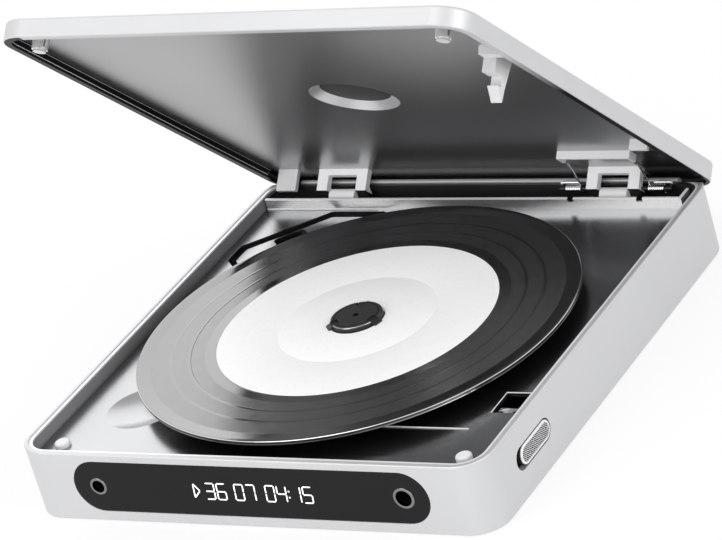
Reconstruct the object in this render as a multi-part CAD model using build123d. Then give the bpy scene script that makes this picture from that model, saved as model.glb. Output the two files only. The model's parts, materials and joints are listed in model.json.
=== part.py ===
from build123d import *
import math
import os

# Flat portable disc player with a sprung lid, made to hang on a wall or lie on a table.
# Millimetres.  X runs to the right, Y towards the hinge, Z out of the wall face.
# The origin is the middle of the flat back.  The lid is drawn shut, then opened to its stop.

# ---- case ----
CASE_WIDTH = 138.0
CASE_DEPTH = 145.0
CASE_CORNER = 8.6
BASE_HEIGHT = 19.8
WALL = 2.2
RIM_STEP_WIDTH = 1.2
RIM_STEP_DROP = 0.15
EDGE_ROUND = 0.5
EDGE_BREAK = 0.25
COVER_THICKNESS = 1.6
FLANGE_WIDTH = 1.4
FLANGE_THICKNESS = 1.2
FLANGE_CORNER = 11.0        # reach of the front flanges from each corner
FLANGE_START = 39.0         # rear flanges start this far in front of the ledge

# ---- clearances ----
FIT = 0.15                  # between fixed pieces
RUN = 0.05                  # radial, shaft in bore
SNUG = 0.02                 # radial, fixed rod in its hole
CUT = 1.0                   # cutting shapes reach this far past a face
WELD = 0.1                  # shapes joined into one piece overlap by this

# ---- lid ----
OPEN_ANGLE = 44.7
LID_GAP = 0.3
LID_HEIGHT = 5.3
LID_SKIN = 1.3
LID_PANEL = 1.1
LID_LIP_HEIGHT = 0.9
LID_LIP_WIDTH = 0.4
LID_EDGE_ROUND = 0.8
LID_EDGE_BREAK = 0.2
LID_REAR_WALL = 1.2
CLAMP_RECESS_RADIUS = 12.1
CLAMP_RECESS_FLOOR = 9.4
CLAMP_RECESS_SINK = 0.8      # into the lid skin behind the panel
PEG_TIP_RADIUS = 1.7
PEG_END_RADIUS = 2.1
PEG_ROOT_RADIUS = 2.3
PEG_TIP = 0.6
PEG_GAP = 2.05              # pegs end this far above the bumpers when the lid is shut
PEG_GROOVE = 0.5
PEG_GROOVE_DEPTH = 1.2
PEG_GROOVE_TURN = -27.0

# ---- hinge ----
FITTINGS_SHIFT = -0.7       # pegs, bumpers and hinges sit this far off the middle
HINGE_FROM_REAR = 5.35
HINGE_DROP = 5.63           # axis below the rim
HINGE_FROM_SIDE = 26.4
HINGE_PIN_RADIUS = 1.0
HINGE_BOSS = 2.0
BRACKET_WIDTH = 15.9
BRACKET_GAP = 9.3
BRACKET_PLATE = 2.1
BRACKET_SETBACK = 0.2       # bracket face behind the ledge
BRACKET_BRIDGE = 1.8
BRACKET_TOE = 2.4          # toe of the bracket above the hinge axis
BRACKET_TOE_DEPTH = 1.3
KNUCKLE_WIDTH = 8.2
KNUCKLE_RADIUS = 2.2
KNUCKLE_FORWARD = 1.4
KNUCKLE_SHIFT = 0.5         # off the middle of the bracket
KNUCKLE_RISE = 3.2
KNUCKLE_NECK = -0.5
SPRING_WIRE = 0.3           # wire radius
SPRING_COIL = 0.95          # mean coil radius
SPRING_TURNS = 8
SPRING_FORWARD = 3.1
SPRING_RISE = 3.3
SPRING_SPREAD = 20.9        # between the two lid legs
SPRING_LEG_LENGTH = 9.6
SPRING_LEG_RISE = 22.0      # degrees, lid shut
SPRING_TAIL = 1.0
ARBOR_RADIUS = 0.55
ARBOR_END = 1.6             # arbor past the coil
RETURN_RADIUS = 0.3         # arbor wire bent back over the coil
RETURN_RISE = 1.75
RETURN_START = 0.8
SPRING_BOX_WIDTH = 21.8
SPRING_BOX_DEPTH = 4.0
SPRING_BOX_FRONT = 15.4     # front wall ahead of the bracket face
SPRING_BOX_HEIGHT = 2.2
SPRING_BOX_WALL = 0.9
SPRING_BOX_SHIFT = 1.4
STOP_WIDTH = 5.3
STOP_HEIGHT = 2.9
STOP_THICKNESS = 1.3
STOP_FROM_SIDE = 1.9
STOP_AHEAD = 26.0           # ahead of the bracket face
TAB_WIDTH = 6.3
TAB_FROM_SIDE = 2.2
TAB_THICKNESS = 1.4
TAB_TOE = 2.6

# ---- deck ----
DECK_DROP = 3.85            # deck below the rim
DECK_THICKNESS = 1.2
DECK_GAP = 0.6              # deck edge from the inner walls
LEDGE_FROM_REAR = 11.5
LEDGE_THICKNESS = 0.7
LEDGE_HEIGHT = 3.3
LEDGE_RIGHT_GAP = 2.6       # right end of the ledge from the inner wall
LEDGE_RETURN = 4.6
NOTCH_WIDTH = 1.9
NOTCH_DEPTH = 1.1
NOTCH_SHIFT = -0.6          # off the spring leg
DIMPLE_RADIUS = 10.2
DIMPLE_DEPTH = 1.6
DIMPLE_CUP_RADIUS = 8.5     # thickening under the scoop
DIMPLE_CUP_DEPTH = 1.1
DIMPLE_FROM_SIDE = 22.5
DIMPLE_FROM_FRONT = 29.0
BUMPER_RADIUS = 2.15
BUMPER_RISE = 1.3
BUMPER_SINK = 0.4
BUMPER_ROUND = 0.7
BUMPER_FROM_FRONT = 10.1
BUMPER_FROM_SIDE = 9.25
POST_RADIUS = 2.3
POST_INSET = 7.8            # post axis from the case side
POST_FROM_FRONT = 11.3
POST_FROM_LEDGE = 7.0
POST_MIDDLE = 0.54          # share of the way from the front post to the rear one
SCREW_RADIUS = 0.98
SCREW_HEAD = 1.9
SCREW_HEAD_THICKNESS = 0.8
SCREW_REACH = 5.0
SCREW_SLOT = 0.5
TROUGH_FLOOR_DROP = 9.6     # trough underside below the rim
TROUGH_WALL = 0.8
TROUGH_REAR_DROP = 0.9
LABEL_WIDTH = 60.0
LABEL_DEPTH = 14.0
LABEL_SINK = 0.3
LABEL_FROM_SIDE = 15.4
LABEL_FROM_FRONT = 9.8

# ---- disc and hub ----
SPINDLE_FROM_LEDGE = 66.7
DISC_RADIUS = 60.0
DISC_HOLE = 7.5
DISC_THICKNESS = 1.2
DISC_LIFT = 3.85            # disc underside above the deck
STACK_RING = 17.0
STACK_RING_WIDTH = 0.8
STACK_RING_HEIGHT = 0.15
HUB_BOSS = 7.1
HUB_RISE = 2.5              # boss top above the disc underside
HUB_ROUND = 0.5
HUB_STEM = 5.0
HUB_FLANGE = 13.0
HUB_FLANGE_THICKNESS = 2.0
HUB_PAD_WIDTH = 2.2
HUB_PAD_HEIGHT = 0.3
HUB_EYE = 0.85
HUB_EYE_DEPTH = 0.9
JAW_REACH = 8.3
JAW_WIDTH = 2.6
JAW_ROOT = 3.6
JAW_GAP = 0.4
JAW_OPEN = 5.0              # pockets break through the boss top beyond this radius
HUB_GROOVE = 6.2            # ring line near the edge of the boss
HUB_GROOVE_WIDTH = 0.3
HUB_GROOVE_DEPTH = 0.2
JAW_ANGLES = [103.0, 223.0, 343.0]
SHAFT_RADIUS = 1.0
MOTOR_RADIUS = 11.0
MOTOR_HEIGHT = 4.5
MOTOR_NOSE = 2.6
MOTOR_NOSE_HEIGHT = 0.5
MOTOR_ROUND = 0.8

# ---- drive ----
DRIVE_ANGLE = 135.0         # pickup travel direction, from +X
DRIVE_CORNER = 17.44        # drive ends this far short of the corner at the case side
BAY_FRONT_SIDE = 17.8
BAY_GEAR_SIDE = 27.2
BAY_INNER = 22.0
BAY_PAST_DAMPER = 5.2
BAY_CORNER = 1.2
BAY_GAP = 2.0
BAY_SIDE_MARGIN = 5.4
BAY_LEDGE_MARGIN = 1.0
DRIVE_COVER_DROP = 0.66
DRIVE_COVER_THICKNESS = 1.2
COVER_EYE = 6.2
COVER_WINDOW_SIDE = 9.2
COVER_WINDOW_START = 16.0
COVER_WINDOW_TAIL = 8.9
COVER_WINDOW_CORNER = 1.2
COVER_WINDOW_OFFSET = 1.0   # tail of the window off the pickup axis, towards the gears
COVER_POST_RADIUS = 1.75
CHASSIS_Z = 7.5
CHASSIS_THICKNESS = 1.2
CHASSIS_SIDE = 15.5
CHASSIS_START = 16.5
CHASSIS_END = 4.0           # past the outer dampers
CHASSIS_GAP = 0.4
CHASSIS_WINDOW_LENGTH = 32.0
CHASSIS_WINDOW_WIDTH = 10.0
LENS_REST = 40.0
LENS_RADIUS = 2.2
LENS_GAP = 1.9              # lens face below the disc
LENS_RIM = 0.95
LENS_CURVE = 3.2
LENS_DOME = 0.8
ACTUATOR_RADIUS = 5.4
ACTUATOR_RISE = 1.2
ACTUATOR_HALF_LENGTH = 4.0
ACTUATOR_HALF_WIDTH = 6.4
SLED_BEHIND = 9.5
SLED_AHEAD = 8.5
SLED_TOP_GAP = 0.45
SLED_FLOOR_GAP = 0.9
SLED_ROD_EDGE = 2.4
ROD_RADIUS = 1.0
ROD_SIDE_MAIN = -12.0
ROD_SIDE_GUIDE = 8.0
ROD_Z = 11.3
ROD_START = 10.8
ROD_SHORT = 4.3             # rods end this far before the outer dampers
CLIP_LENGTH = 1.8
CLIP_PAST = 0.4
CLIP_HALF_WIDTH = 2.2
CLIP_ABOVE = 2.0
SLED_STOP_GAP = 0.3
GEAR_MODULE = 0.5
RACK_SIDE = 15.0            # rack pitch line from the pickup axis
RACK_BACK = 2.1
RACK_SPARE = 2.0
SMALL_TEETH = 16
LARGE_TEETH = 32
PINION_TEETH = 12
BACKLASH = 0.12
GEAR_STATION = 34.0         # compound gear along the pickup axis
GEAR_FLOOR_GAP = 0.5
GEAR_FACE = 1.5
SMALL_FACE = 2.0
GEAR_STEP = 0.2
GEAR_POST_RADIUS = 1.0
GEAR_POST_FOOT = 2.0
GEAR_POST_HEAD = 1.7
GEAR_POST_HEAD_THICKNESS = 0.5
SLED_MOTOR_RADIUS = 7.0
SLED_MOTOR_HEIGHT = 5.0
SLED_SHAFT_RADIUS = 0.75
SLED_SHAFT_DEPTH = 3.4
SLED_NOSE = 1.5
DAMPER_INNER = 12.0
DAMPER_INNER_SIDE = 12.0
DAMPER_OUTER_SIDE = 11.0
DAMPER_BOTTOM = 5.0
DAMPER_RADIUS = 3.4
DAMPER_NECK = 2.3
DAMPER_CAP = 1.3
DAMPER_SCREW = 1.1
DAMPER_SCREW_HEAD = 2.4
DAMPER_SCREW_HEAD_THICKNESS = 0.9
DAMPER_BOSS = 2.6
DAMPER_SCREW_START = 1.0

# ---- front window and sockets ----
WINDOW_SIDE = 16.4          # window end from the case side
WINDOW_SHIFT = 0.15
WINDOW_HEIGHT = 14.9
WINDOW_Z = 10.4
WINDOW_THICKNESS = 1.1
WINDOW_BORDER = 1.0
WINDOW_ROUND = 0.2
JACK_FROM_END = 7.3
SMALL_JACK_BORE = 1.8
LARGE_JACK_BORE = 2.25
SMALL_JACK_RING = 2.45
LARGE_JACK_RING = 2.95
JACK_RING_PROUD = 0.1
JACK_RING_ROUND = 0.15
JACK_LENGTH = 13.0
JACK_BACK = 0.8
JACK_HALF = 3.4
JACK_RELIEF = 3.6
DISPLAY_FROM_JACK = 23.3
DISPLAY_HEIGHT = 8.6
DISPLAY_THICKNESS = 1.6
DISPLAY_BOARD_FROM_JACK = 14.3
DISPLAY_BOARD_THICKNESS = 1.0
DISPLAY_BOARD_GAP = 0.4     # below the deck

# ---- lid release on the right side ----
RELEASE_FROM_FRONT = 26.2
RELEASE_Z = 10.3
RELEASE_SLOT_LENGTH = 19.0
RELEASE_SLOT_HEIGHT = 6.2
RELEASE_PAD_LENGTH = 16.0
RELEASE_PAD_HEIGHT = 5.3
RELEASE_TRAVEL = 2.0
RELEASE_PROUD = 0.15
RELEASE_DISH = 0.4
RELEASE_RIM = 0.6
RELEASE_ROUND = 0.3
RELEASE_PLATE = 1.2
RELEASE_PLATE_GAP = 0.3
RELEASE_PLATE_EDGE = 0.6
RELEASE_PLATE_BELOW = 4.2
RELEASE_PLATE_ABOVE = 3.0
SPRING_RIB = 1.0
SPRING_RIB_REACH = 2.0
SPRING_RIB_BELOW = 5.0
SPRING_ROOM = 8.7           # from the slot end to the rib
SLIDER_SPRING_RADIUS = 0.8
SLIDER_SPRING_WIRE = 0.2
SLIDER_SPRING_TURNS = 7
SLIDER_SPRING_DROP = 1.8
LATCH_FROM_SIDE = 8.65      # middle of the catch from the case side
LATCH_SLOT_FROM_FRONT = 31.2
LATCH_SLOT_WIDTH = 8.5
LATCH_SLOT_LENGTH = 9.5
CATCH_THICKNESS = 0.5
CATCH_SKIN = 0.45           # deck skin left above the catch
CATCH_BAR = 1.4
CATCH_BAR_WIDTH = 6.1
CATCH_STEM_WIDTH = 2.7
CATCH_FROM_EDGE = 1.4
CATCH_STEM_LENGTH = 8.0
CATCH_ARM_WIDTH = 3.0
CATCH_ARM_THICKNESS = 0.7
CATCH_DROP = 4.0
CATCH_ROOM = 0.2
HOOK_WIDTH = 2.95
HOOK_SHIFT = 0.75
HOOK_GAP = 0.15             # between hook and catch, lid shut
HOOK_NOSE = 1.6
HOOK_NOSE_DROP = 3.5
HOOK_NOSE_RAKE = 3.0
HOOK_NECK = 2.05
HOOK_STEP_FORWARD = 3.75
HOOK_STEP_DROP = 5.3
HOOK_STEP_EXTRA = 0.75
HOOK_FOOT_FORWARD = 9.1
HOOK_FOOT_DEPTH = 3.2
HOOK_FOOT_DROP = 2.4
HOOK_FOOT_WIDTH = 6.3
HOOK_TAPER = 1.9

# ---- buttons on the left side ----
BUTTON_Z = 10.3
BUTTON_LENGTH = 6.0
BUTTON_HEIGHT = 2.8
BUTTON_SHARES = [0.453, 0.598, 0.743, 0.887]
ROCKER_SHARE = 0.196
BUTTON_PROUD = 0.3
BUTTON_TRAVEL = 0.3
BUTTON_ROUND = 0.25
BUTTON_FLANGE = 0.8
BUTTON_FLANGE_THICKNESS = 0.7
BUTTON_STEM = 0.8
BUTTON_SLACK = 0.3
ROCKER_LENGTH = 17.0
ROCKER_SLACK = 0.5
ROCKER_STEMS = 6.0
BUTTON_BOARD_FROM_SIDE = 5.6
BUTTON_BOARD_THICKNESS = 1.0
BUTTON_BOARD_BOTTOM = 3.6
SWITCH_SIZE = 3.0
SWITCH_DEPTH = 1.2
SWITCH_GAP = 0.05

# ---- electronics ----
BOARD_Z = 3.6
BOARD_THICKNESS = 1.2
BOARD_FRONT_GAP = 1.0
BOARD_LEFT_GAP = 8.6        # from the inner left wall
BOARD_RIGHT_GAP = 16.8
BOARD_STRIP_DEPTH = 22.0
BOARD_BEFORE_SPINDLE = 24.3
BOARD_SIDE_WIDTH = 9.2
BOARD_PAST_USB = 6.0
BOARD_POST = 2.0
BOARD_POST_INSET = 5.0
BOARD_POST_MARGIN = 0.4
# share across, share forward, side and height of each package in the middle of the board
CHIPS = [(0.33, 0.25, 10.0, 1.4), (0.50, 0.3, 7.0, 1.2), (0.17, 0.35, 7.0, 1.2), (0.62, 0.3, 4.5, 2.0)]
# share back, side and height of each package on the left strip
STRIP_CHIPS = [(0.2, 2.3, 1.44), (0.65, 1.85, 2.88)]
BATTERY_BESIDE_DRIVE = 2.4
BATTERY_FROM_SIDE = 9.8
BATTERY_BEFORE_SPINDLE = 20.3
BATTERY_BEHIND_SPINDLE = 35.7
BATTERY_THICKNESS = 6.2
BATTERY_ROUND = 1.4
USB_FROM_LEDGE = 47.0
USB_Z = 6.7
USB_WIDTH = 8.94
USB_HEIGHT = 3.26
USB_WALL = 0.35
USB_DEPTH = 7.3
USB_BACK = 1.4
USB_SETBACK = 0.1
USB_TONGUE = 6.4
USB_TONGUE_THICKNESS = 0.7
USB_FOOT = 3.5
USB_GAP = 0.1

# ---- wall mounting ----
KEYHOLE_FROM_SIDE = 24.0
KEYHOLE_FROM_LEDGE = 23.0
KEYHOLE_ENTRY = 4.0
KEYHOLE_SLOT = 2.1
KEYHOLE_RISE = 8.0
KEYHOLE_CUP = 3.0
KEYHOLE_CUP_WALL = 0.8
KEYHOLE_ROOM = 0.2
PAD_RADIUS = 5.0
PAD_THICKNESS = 0.8
PAD_INSET = 15.5

# ---- derived places ----
HALF_W = CASE_WIDTH / 2
HALF_D = CASE_DEPTH / 2
FRONT_Y = -HALF_D
INNER_X = HALF_W - WALL
INNER_FRONT = FRONT_Y + WALL
INNER_REAR = HALF_D - WALL
DECK_TOP = BASE_HEIGHT - DECK_DROP
DECK_BOTTOM = DECK_TOP - DECK_THICKNESS
LEDGE_Y = HALF_D - LEDGE_FROM_REAR
LEDGE_REAR = LEDGE_Y + LEDGE_THICKNESS
LEDGE_TOP = DECK_TOP + LEDGE_HEIGHT
SPINDLE_Y = LEDGE_Y - SPINDLE_FROM_LEDGE
HINGE_Y = HALF_D - HINGE_FROM_REAR
HINGE_Z = BASE_HEIGHT - HINGE_DROP
HINGE_AXIS = Axis((0, HINGE_Y, HINGE_Z), (-1, 0, 0))
HINGE_XS = [FITTINGS_SHIFT + side * (HALF_W - HINGE_FROM_SIDE) for side in (-1, 1)]
RIGHT_HINGE = HINGE_XS[1]
LID_BOTTOM = BASE_HEIGHT + LID_GAP
LID_TOP = LID_BOTTOM + LID_HEIGHT
CEILING = LID_TOP - LID_SKIN - LID_PANEL
BRACKET_Y = LEDGE_REAR + BRACKET_SETBACK
BRACKET_REAR = BRACKET_Y + BRACKET_PLATE
TROUGH_BOTTOM = BASE_HEIGHT - TROUGH_FLOOR_DROP
TROUGH_FLOOR = TROUGH_BOTTOM + TROUGH_WALL
SPRING_Y = HINGE_Y - SPRING_FORWARD
SPRING_Z = HINGE_Z + SPRING_RISE
SPRING_LEGS = [RIGHT_HINGE + side * SPRING_SPREAD / 2 for side in (-1, 1)]
DISC_BOTTOM = DECK_TOP + DISC_LIFT
DISC_TOP = DISC_BOTTOM + DISC_THICKNESS
HUB_TOP = DISC_BOTTOM + HUB_RISE
CHASSIS_TOP = CHASSIS_Z + CHASSIS_THICKNESS
DRIVE_COVER_TOP = DECK_TOP - DRIVE_COVER_DROP
DRIVE_COVER_BOTTOM = DRIVE_COVER_TOP - DRIVE_COVER_THICKNESS
MOTOR_TOP = CHASSIS_TOP + MOTOR_HEIGHT
DAMPER_OUTER = (HALF_W - BAY_SIDE_MARGIN) * math.sqrt(2) - DRIVE_CORNER
BAY_OUTER = DAMPER_OUTER + BAY_PAST_DAMPER
ROD_END = DAMPER_OUTER - ROD_SHORT
LENS_MIN = ROD_START + CLIP_LENGTH - CLIP_PAST + SLED_STOP_GAP + SLED_BEHIND
LENS_MAX = ROD_END - CLIP_LENGTH + CLIP_PAST - SLED_STOP_GAP - SLED_AHEAD
SLED_TOP = DRIVE_COVER_BOTTOM - SLED_TOP_GAP
SMALL_PITCH = GEAR_MODULE * SMALL_TEETH / 2
LARGE_PITCH = GEAR_MODULE * LARGE_TEETH / 2
PINION_PITCH = GEAR_MODULE * PINION_TEETH / 2
GEAR_SIDE = RACK_SIDE + SMALL_PITCH
PINION_STATION = GEAR_STATION + LARGE_PITCH + PINION_PITCH
LARGE_GEAR_Z = CHASSIS_TOP + GEAR_FLOOR_GAP
SMALL_GEAR_Z = LARGE_GEAR_Z + GEAR_FACE + GEAR_STEP
GEAR_TOP = SMALL_GEAR_Z + SMALL_FACE
DAMPER_TOP = CHASSIS_TOP + DAMPER_CAP
POST_FRONT_Y = FRONT_Y + POST_FROM_FRONT
POST_REAR_Y = LEDGE_Y - POST_FROM_LEDGE
POST_MIDDLE_Y = POST_FRONT_Y + POST_MIDDLE * (POST_REAR_Y - POST_FRONT_Y)
POST_X = HALF_W - POST_INSET
POSTS = [(side * POST_X, y) for side in (-1, 1) for y in (POST_FRONT_Y, POST_MIDDLE_Y, POST_REAR_Y)]
BUMPERS = [(FITTINGS_SHIFT + side * (HALF_W - BUMPER_FROM_SIDE), FRONT_Y + BUMPER_FROM_FRONT)
           for side in (-1, 1)]
PADS = [(i * (HALF_W - PAD_INSET), j * (HALF_D - PAD_INSET)) for i in (-1, 1) for j in (-1, 1)]
WINDOW_WIDTH = CASE_WIDTH - 2 * WINDOW_SIDE
JACK_X = WINDOW_WIDTH / 2 - JACK_FROM_END
JACK_FRONT = FRONT_Y + WINDOW_THICKNESS
RELEASE_Y = FRONT_Y + RELEASE_FROM_FRONT
RELEASE_SLOT_FRONT = RELEASE_Y - RELEASE_SLOT_LENGTH / 2
RELEASE_SLOT_REAR = RELEASE_Y + RELEASE_SLOT_LENGTH / 2
RELEASE_PAD_Y = RELEASE_SLOT_REAR - RELEASE_PAD_LENGTH / 2 - (RELEASE_SLOT_HEIGHT - RELEASE_PAD_HEIGHT) / 2
SPRING_RIB_Y = RELEASE_SLOT_FRONT - SPRING_ROOM
LATCH_X = HALF_W - LATCH_FROM_SIDE
LATCH_FRONT = FRONT_Y + LATCH_SLOT_FROM_FRONT
CATCH_TOP = DECK_TOP - CATCH_SKIN
CATCH_BOTTOM = CATCH_TOP - CATCH_THICKNESS
CATCH_FRONT = LATCH_FRONT + CATCH_FROM_EDGE
CATCH_REAR = CATCH_FRONT + CATCH_BAR
POST_GAP = POST_MIDDLE_Y - POST_FRONT_Y
BUTTON_YS = [POST_FRONT_Y + share * POST_GAP for share in BUTTON_SHARES]
ROCKER_Y = POST_FRONT_Y + ROCKER_SHARE * POST_GAP
BUTTON_BOARD_X = -(HALF_W - BUTTON_BOARD_FROM_SIDE)
BOARD_TOP = BOARD_Z + BOARD_THICKNESS
BOARD_LEFT = -INNER_X + BOARD_LEFT_GAP
BOARD_RIGHT = INNER_X - BOARD_RIGHT_GAP
BOARD_FRONT = INNER_FRONT + BOARD_FRONT_GAP
BOARD_STEP = BOARD_FRONT + BOARD_STRIP_DEPTH
BOARD_REAR = SPINDLE_Y - BOARD_BEFORE_SPINDLE
DRIVE_RIGHT = (CHASSIS_START + CHASSIS_SIDE) / math.sqrt(2)
BATTERY_LEFT = DRIVE_RIGHT + BATTERY_BESIDE_DRIVE
USB_Y = LEDGE_Y - USB_FROM_LEDGE
USB_X = -HALF_W + USB_SETBACK
KEYHOLE_Y = LEDGE_Y - KEYHOLE_FROM_LEDGE
KEYHOLE_XS = [side * (HALF_W - KEYHOLE_FROM_SIDE) for side in (-1, 1)]


# ---- helpers ----
def block(x0, x1, y0, y1, z0, z1):
    """Box between two corners."""
    centre = Pos((x0 + x1) / 2, (y0 + y1) / 2, (z0 + z1) / 2)
    return centre * Box(abs(x1 - x0), abs(y1 - y0), abs(z1 - z0))


def post(x, y, z0, z1, radius):
    """Upright cylinder."""
    return Pos(x, y, (z0 + z1) / 2) * Cylinder(radius, z1 - z0)


def rod_x(x0, x1, y, z, radius):
    """Cylinder along X."""
    return Pos((x0 + x1) / 2, y, z) * Rot(0, 90, 0) * Cylinder(radius, abs(x1 - x0))


def rod_y(y0, y1, x, z, radius):
    """Cylinder along Y."""
    return Pos(x, (y0 + y1) / 2, z) * Rot(90, 0, 0) * Cylinder(radius, abs(y1 - y0))


def case_slab(inset, z0, z1):
    """Slab of the case outline, set in from the outside."""
    outline = RectangleRounded(CASE_WIDTH - 2 * inset, CASE_DEPTH - 2 * inset, CASE_CORNER - inset)
    return Pos(0, 0, z0) * extrude(outline, z1 - z0)


def band(y0, y1):
    """Everything of the case between two planes across Y."""
    return block(-CASE_WIDTH, CASE_WIDTH, y0, y1, -CASE_WIDTH, CASE_WIDTH)


def side_profile(points, x0, x1):
    """Prism along X from a closed outline of (y, z) points."""
    plane = Plane(origin=(x0, 0, 0), x_dir=(0, 1, 0), z_dir=(1, 0, 0))
    return extrude(plane * make_face(Polyline(*points, close=True)), x1 - x0)


def front_pill(x, z, width, height, y0, y1):
    """Pill along X with its flat faces towards Y."""
    plane = Plane(origin=(x, y1, z), x_dir=(1, 0, 0), z_dir=(0, -1, 0))
    return extrude(plane * SlotOverall(width, height), y1 - y0)


def side_pill(y, z, length, height, x0, x1):
    """Pill along Y with its flat faces towards X."""
    plane = Plane(origin=(x0, y, z), x_dir=(0, 1, 0), z_dir=(1, 0, 0))
    return extrude(plane * SlotOverall(length, height), x1 - x0)


def in_drive(shape):
    """Place a shape drawn along the pickup axis (x outwards, y away from the gears)."""
    return Pos(0, SPINDLE_Y, 0) * Rot(0, 0, DRIVE_ANGLE) * shape


def drive_point(station, side):
    """Place on the case of a point along the pickup axis; side is towards the gears."""
    turn = math.radians(DRIVE_ANGLE)
    x = station * math.cos(turn) + side * math.sin(turn)
    y = SPINDLE_Y + station * math.sin(turn) - side * math.cos(turn)
    return x, y


def opened(shape):
    """Swing a lid piece from shut to its open stop."""
    return shape.rotate(HINGE_AXIS, OPEN_ANGLE)


def gear(teeth, face, bore):
    """Spur gear with involute flanks, one tooth centred on +X."""
    pressure = math.radians(20)
    pitch = GEAR_MODULE * teeth / 2
    base = pitch * math.cos(pressure)
    tip = pitch + 0.75 * GEAR_MODULE
    root = pitch - 1.05 * GEAR_MODULE
    half = math.pi / (2 * teeth) - BACKLASH / (4 * pitch)
    involute = math.tan(pressure) - pressure

    def flank(radius):
        if radius <= base:
            return half + involute
        turn = math.acos(base / radius)
        return half + involute - (math.tan(turn) - turn)

    start = max(root, base)
    radii = [start + (tip - start) * i / 4 for i in range(5)]
    if root < base:
        radii = [root] + radii
    points = []
    for tooth in range(teeth):
        middle = 2 * math.pi * tooth / teeth
        left = [(r, middle - flank(r)) for r in radii]
        right = [(r, middle + flank(r)) for r in reversed(radii)]
        points += [(r * math.cos(a), r * math.sin(a)) for r, a in left + right]
    wheel = extrude(make_face(Polyline(*points, close=True)), face)
    return wheel - Pos(0, 0, face / 2) * Cylinder(bore, face * 2)


def bay_clip(margin):
    """Area of the case right of the left margin and in front of the ledge."""
    left = -(HALF_W - BAY_SIDE_MARGIN) + margin
    top = LEDGE_Y - BAY_LEDGE_MARGIN - margin
    return Pos(left + HALF_W, top - HALF_D) * Rectangle(CASE_WIDTH, CASE_DEPTH)


def bay_outline(inset):
    """Drive bay: a slanted rectangle clipped by the case side and the ledge."""
    length = BAY_INNER + BAY_OUTER - 2 * inset
    width = BAY_FRONT_SIDE + BAY_GEAR_SIDE - 2 * inset
    middle = Pos((BAY_OUTER - BAY_INNER) / 2, (BAY_FRONT_SIDE - BAY_GEAR_SIDE) / 2)
    outline = in_drive(middle * Rectangle(length, width)) & bay_clip(inset)
    return fillet(outline.vertices(), BAY_CORNER)


def disc_ring(outer, inner, z0, z1):
    """Flat ring on the spindle axis."""
    return post(0, SPINDLE_Y, z0, z1, outer) - post(0, SPINDLE_Y, z0 - CUT, z1 + CUT, inner)


def coil(x, y, z, axis_turn, radius, wire, turns, pitch):
    """Close coil along X (or along Y when turned), drawn as touching rings."""
    rings = None
    for turn in range(turns):
        ring = Pos(pitch * turn, 0, 0) * Rot(0, 90, 0) * Torus(radius, wire)
        rings = ring if rings is None else rings + ring
    return Pos(x, y, z) * Rot(0, 0, axis_turn) * rings


# ---- base ----
def make_base_shell():
    shell = case_slab(0, 0, BASE_HEIGHT)
    shell = fillet(shell.faces().sort_by(Axis.Z)[0].edges(), EDGE_ROUND)
    shell = chamfer(shell.faces().sort_by(Axis.Z)[-1].edges(), EDGE_BREAK)
    shell -= case_slab(WALL, -CUT, BASE_HEIGHT + CUT)
    shell -= case_slab(WALL - RIM_STEP_WIDTH, BASE_HEIGHT - RIM_STEP_DROP, BASE_HEIGHT + CUT)
    inside = case_slab(WALL + FLANGE_WIDTH, 0, BASE_HEIGHT)
    shell += case_slab(WALL - WELD, COVER_THICKNESS, COVER_THICKNESS + FLANGE_THICKNESS) - inside
    upper = case_slab(WALL - WELD, DECK_BOTTOM - FLANGE_THICKNESS, DECK_BOTTOM) - inside
    middle = block(-INNER_X + FLANGE_CORNER, INNER_X - FLANGE_CORNER, FRONT_Y, HALF_D, 0, BASE_HEIGHT)
    corners = band(FRONT_Y, FRONT_Y + FLANGE_CORNER) - middle
    shell += upper & (corners + band(LEDGE_Y - FLANGE_START, LEDGE_Y))
    shell = cut_front(shell)
    shell = cut_sides(shell)
    return relieve_rear(shell)


def cut_front(shell):
    """Window opening, stepped to seat the glass."""
    border = 2 * WINDOW_BORDER
    shell -= front_pill(WINDOW_SHIFT, WINDOW_Z, WINDOW_WIDTH, WINDOW_HEIGHT, FRONT_Y - CUT, JACK_FRONT)
    return shell - front_pill(WINDOW_SHIFT, WINDOW_Z, WINDOW_WIDTH - border, WINDOW_HEIGHT - border,
                              FRONT_Y, INNER_FRONT + CUT)


def cut_sides(shell):
    """Release slot with its spring rib on the right, buttons and data socket on the left."""
    shell -= side_pill(RELEASE_Y, RELEASE_Z, RELEASE_SLOT_LENGTH, RELEASE_SLOT_HEIGHT,
                       INNER_X - CUT, HALF_W + CUT)
    shell += block(INNER_X - SPRING_RIB_REACH, INNER_X + WELD, SPRING_RIB_Y - SPRING_RIB, SPRING_RIB_Y,
                   RELEASE_Z - SPRING_RIB_BELOW, RELEASE_Z)
    for y in BUTTON_YS:
        shell -= side_pill(y, BUTTON_Z, BUTTON_LENGTH + 2 * FIT, BUTTON_HEIGHT + 2 * FIT,
                           -HALF_W - CUT, -INNER_X + CUT)
    shell -= side_pill(ROCKER_Y, BUTTON_Z, ROCKER_LENGTH + 4 * FIT, BUTTON_HEIGHT + 2 * FIT,
                       -HALF_W - CUT, -INNER_X + CUT)
    return shell - side_pill(USB_Y, USB_Z, USB_WIDTH + 2 * USB_GAP, USB_HEIGHT + 2 * USB_GAP,
                             -HALF_W - CUT, -INNER_X + FLANGE_WIDTH + CUT)


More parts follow.
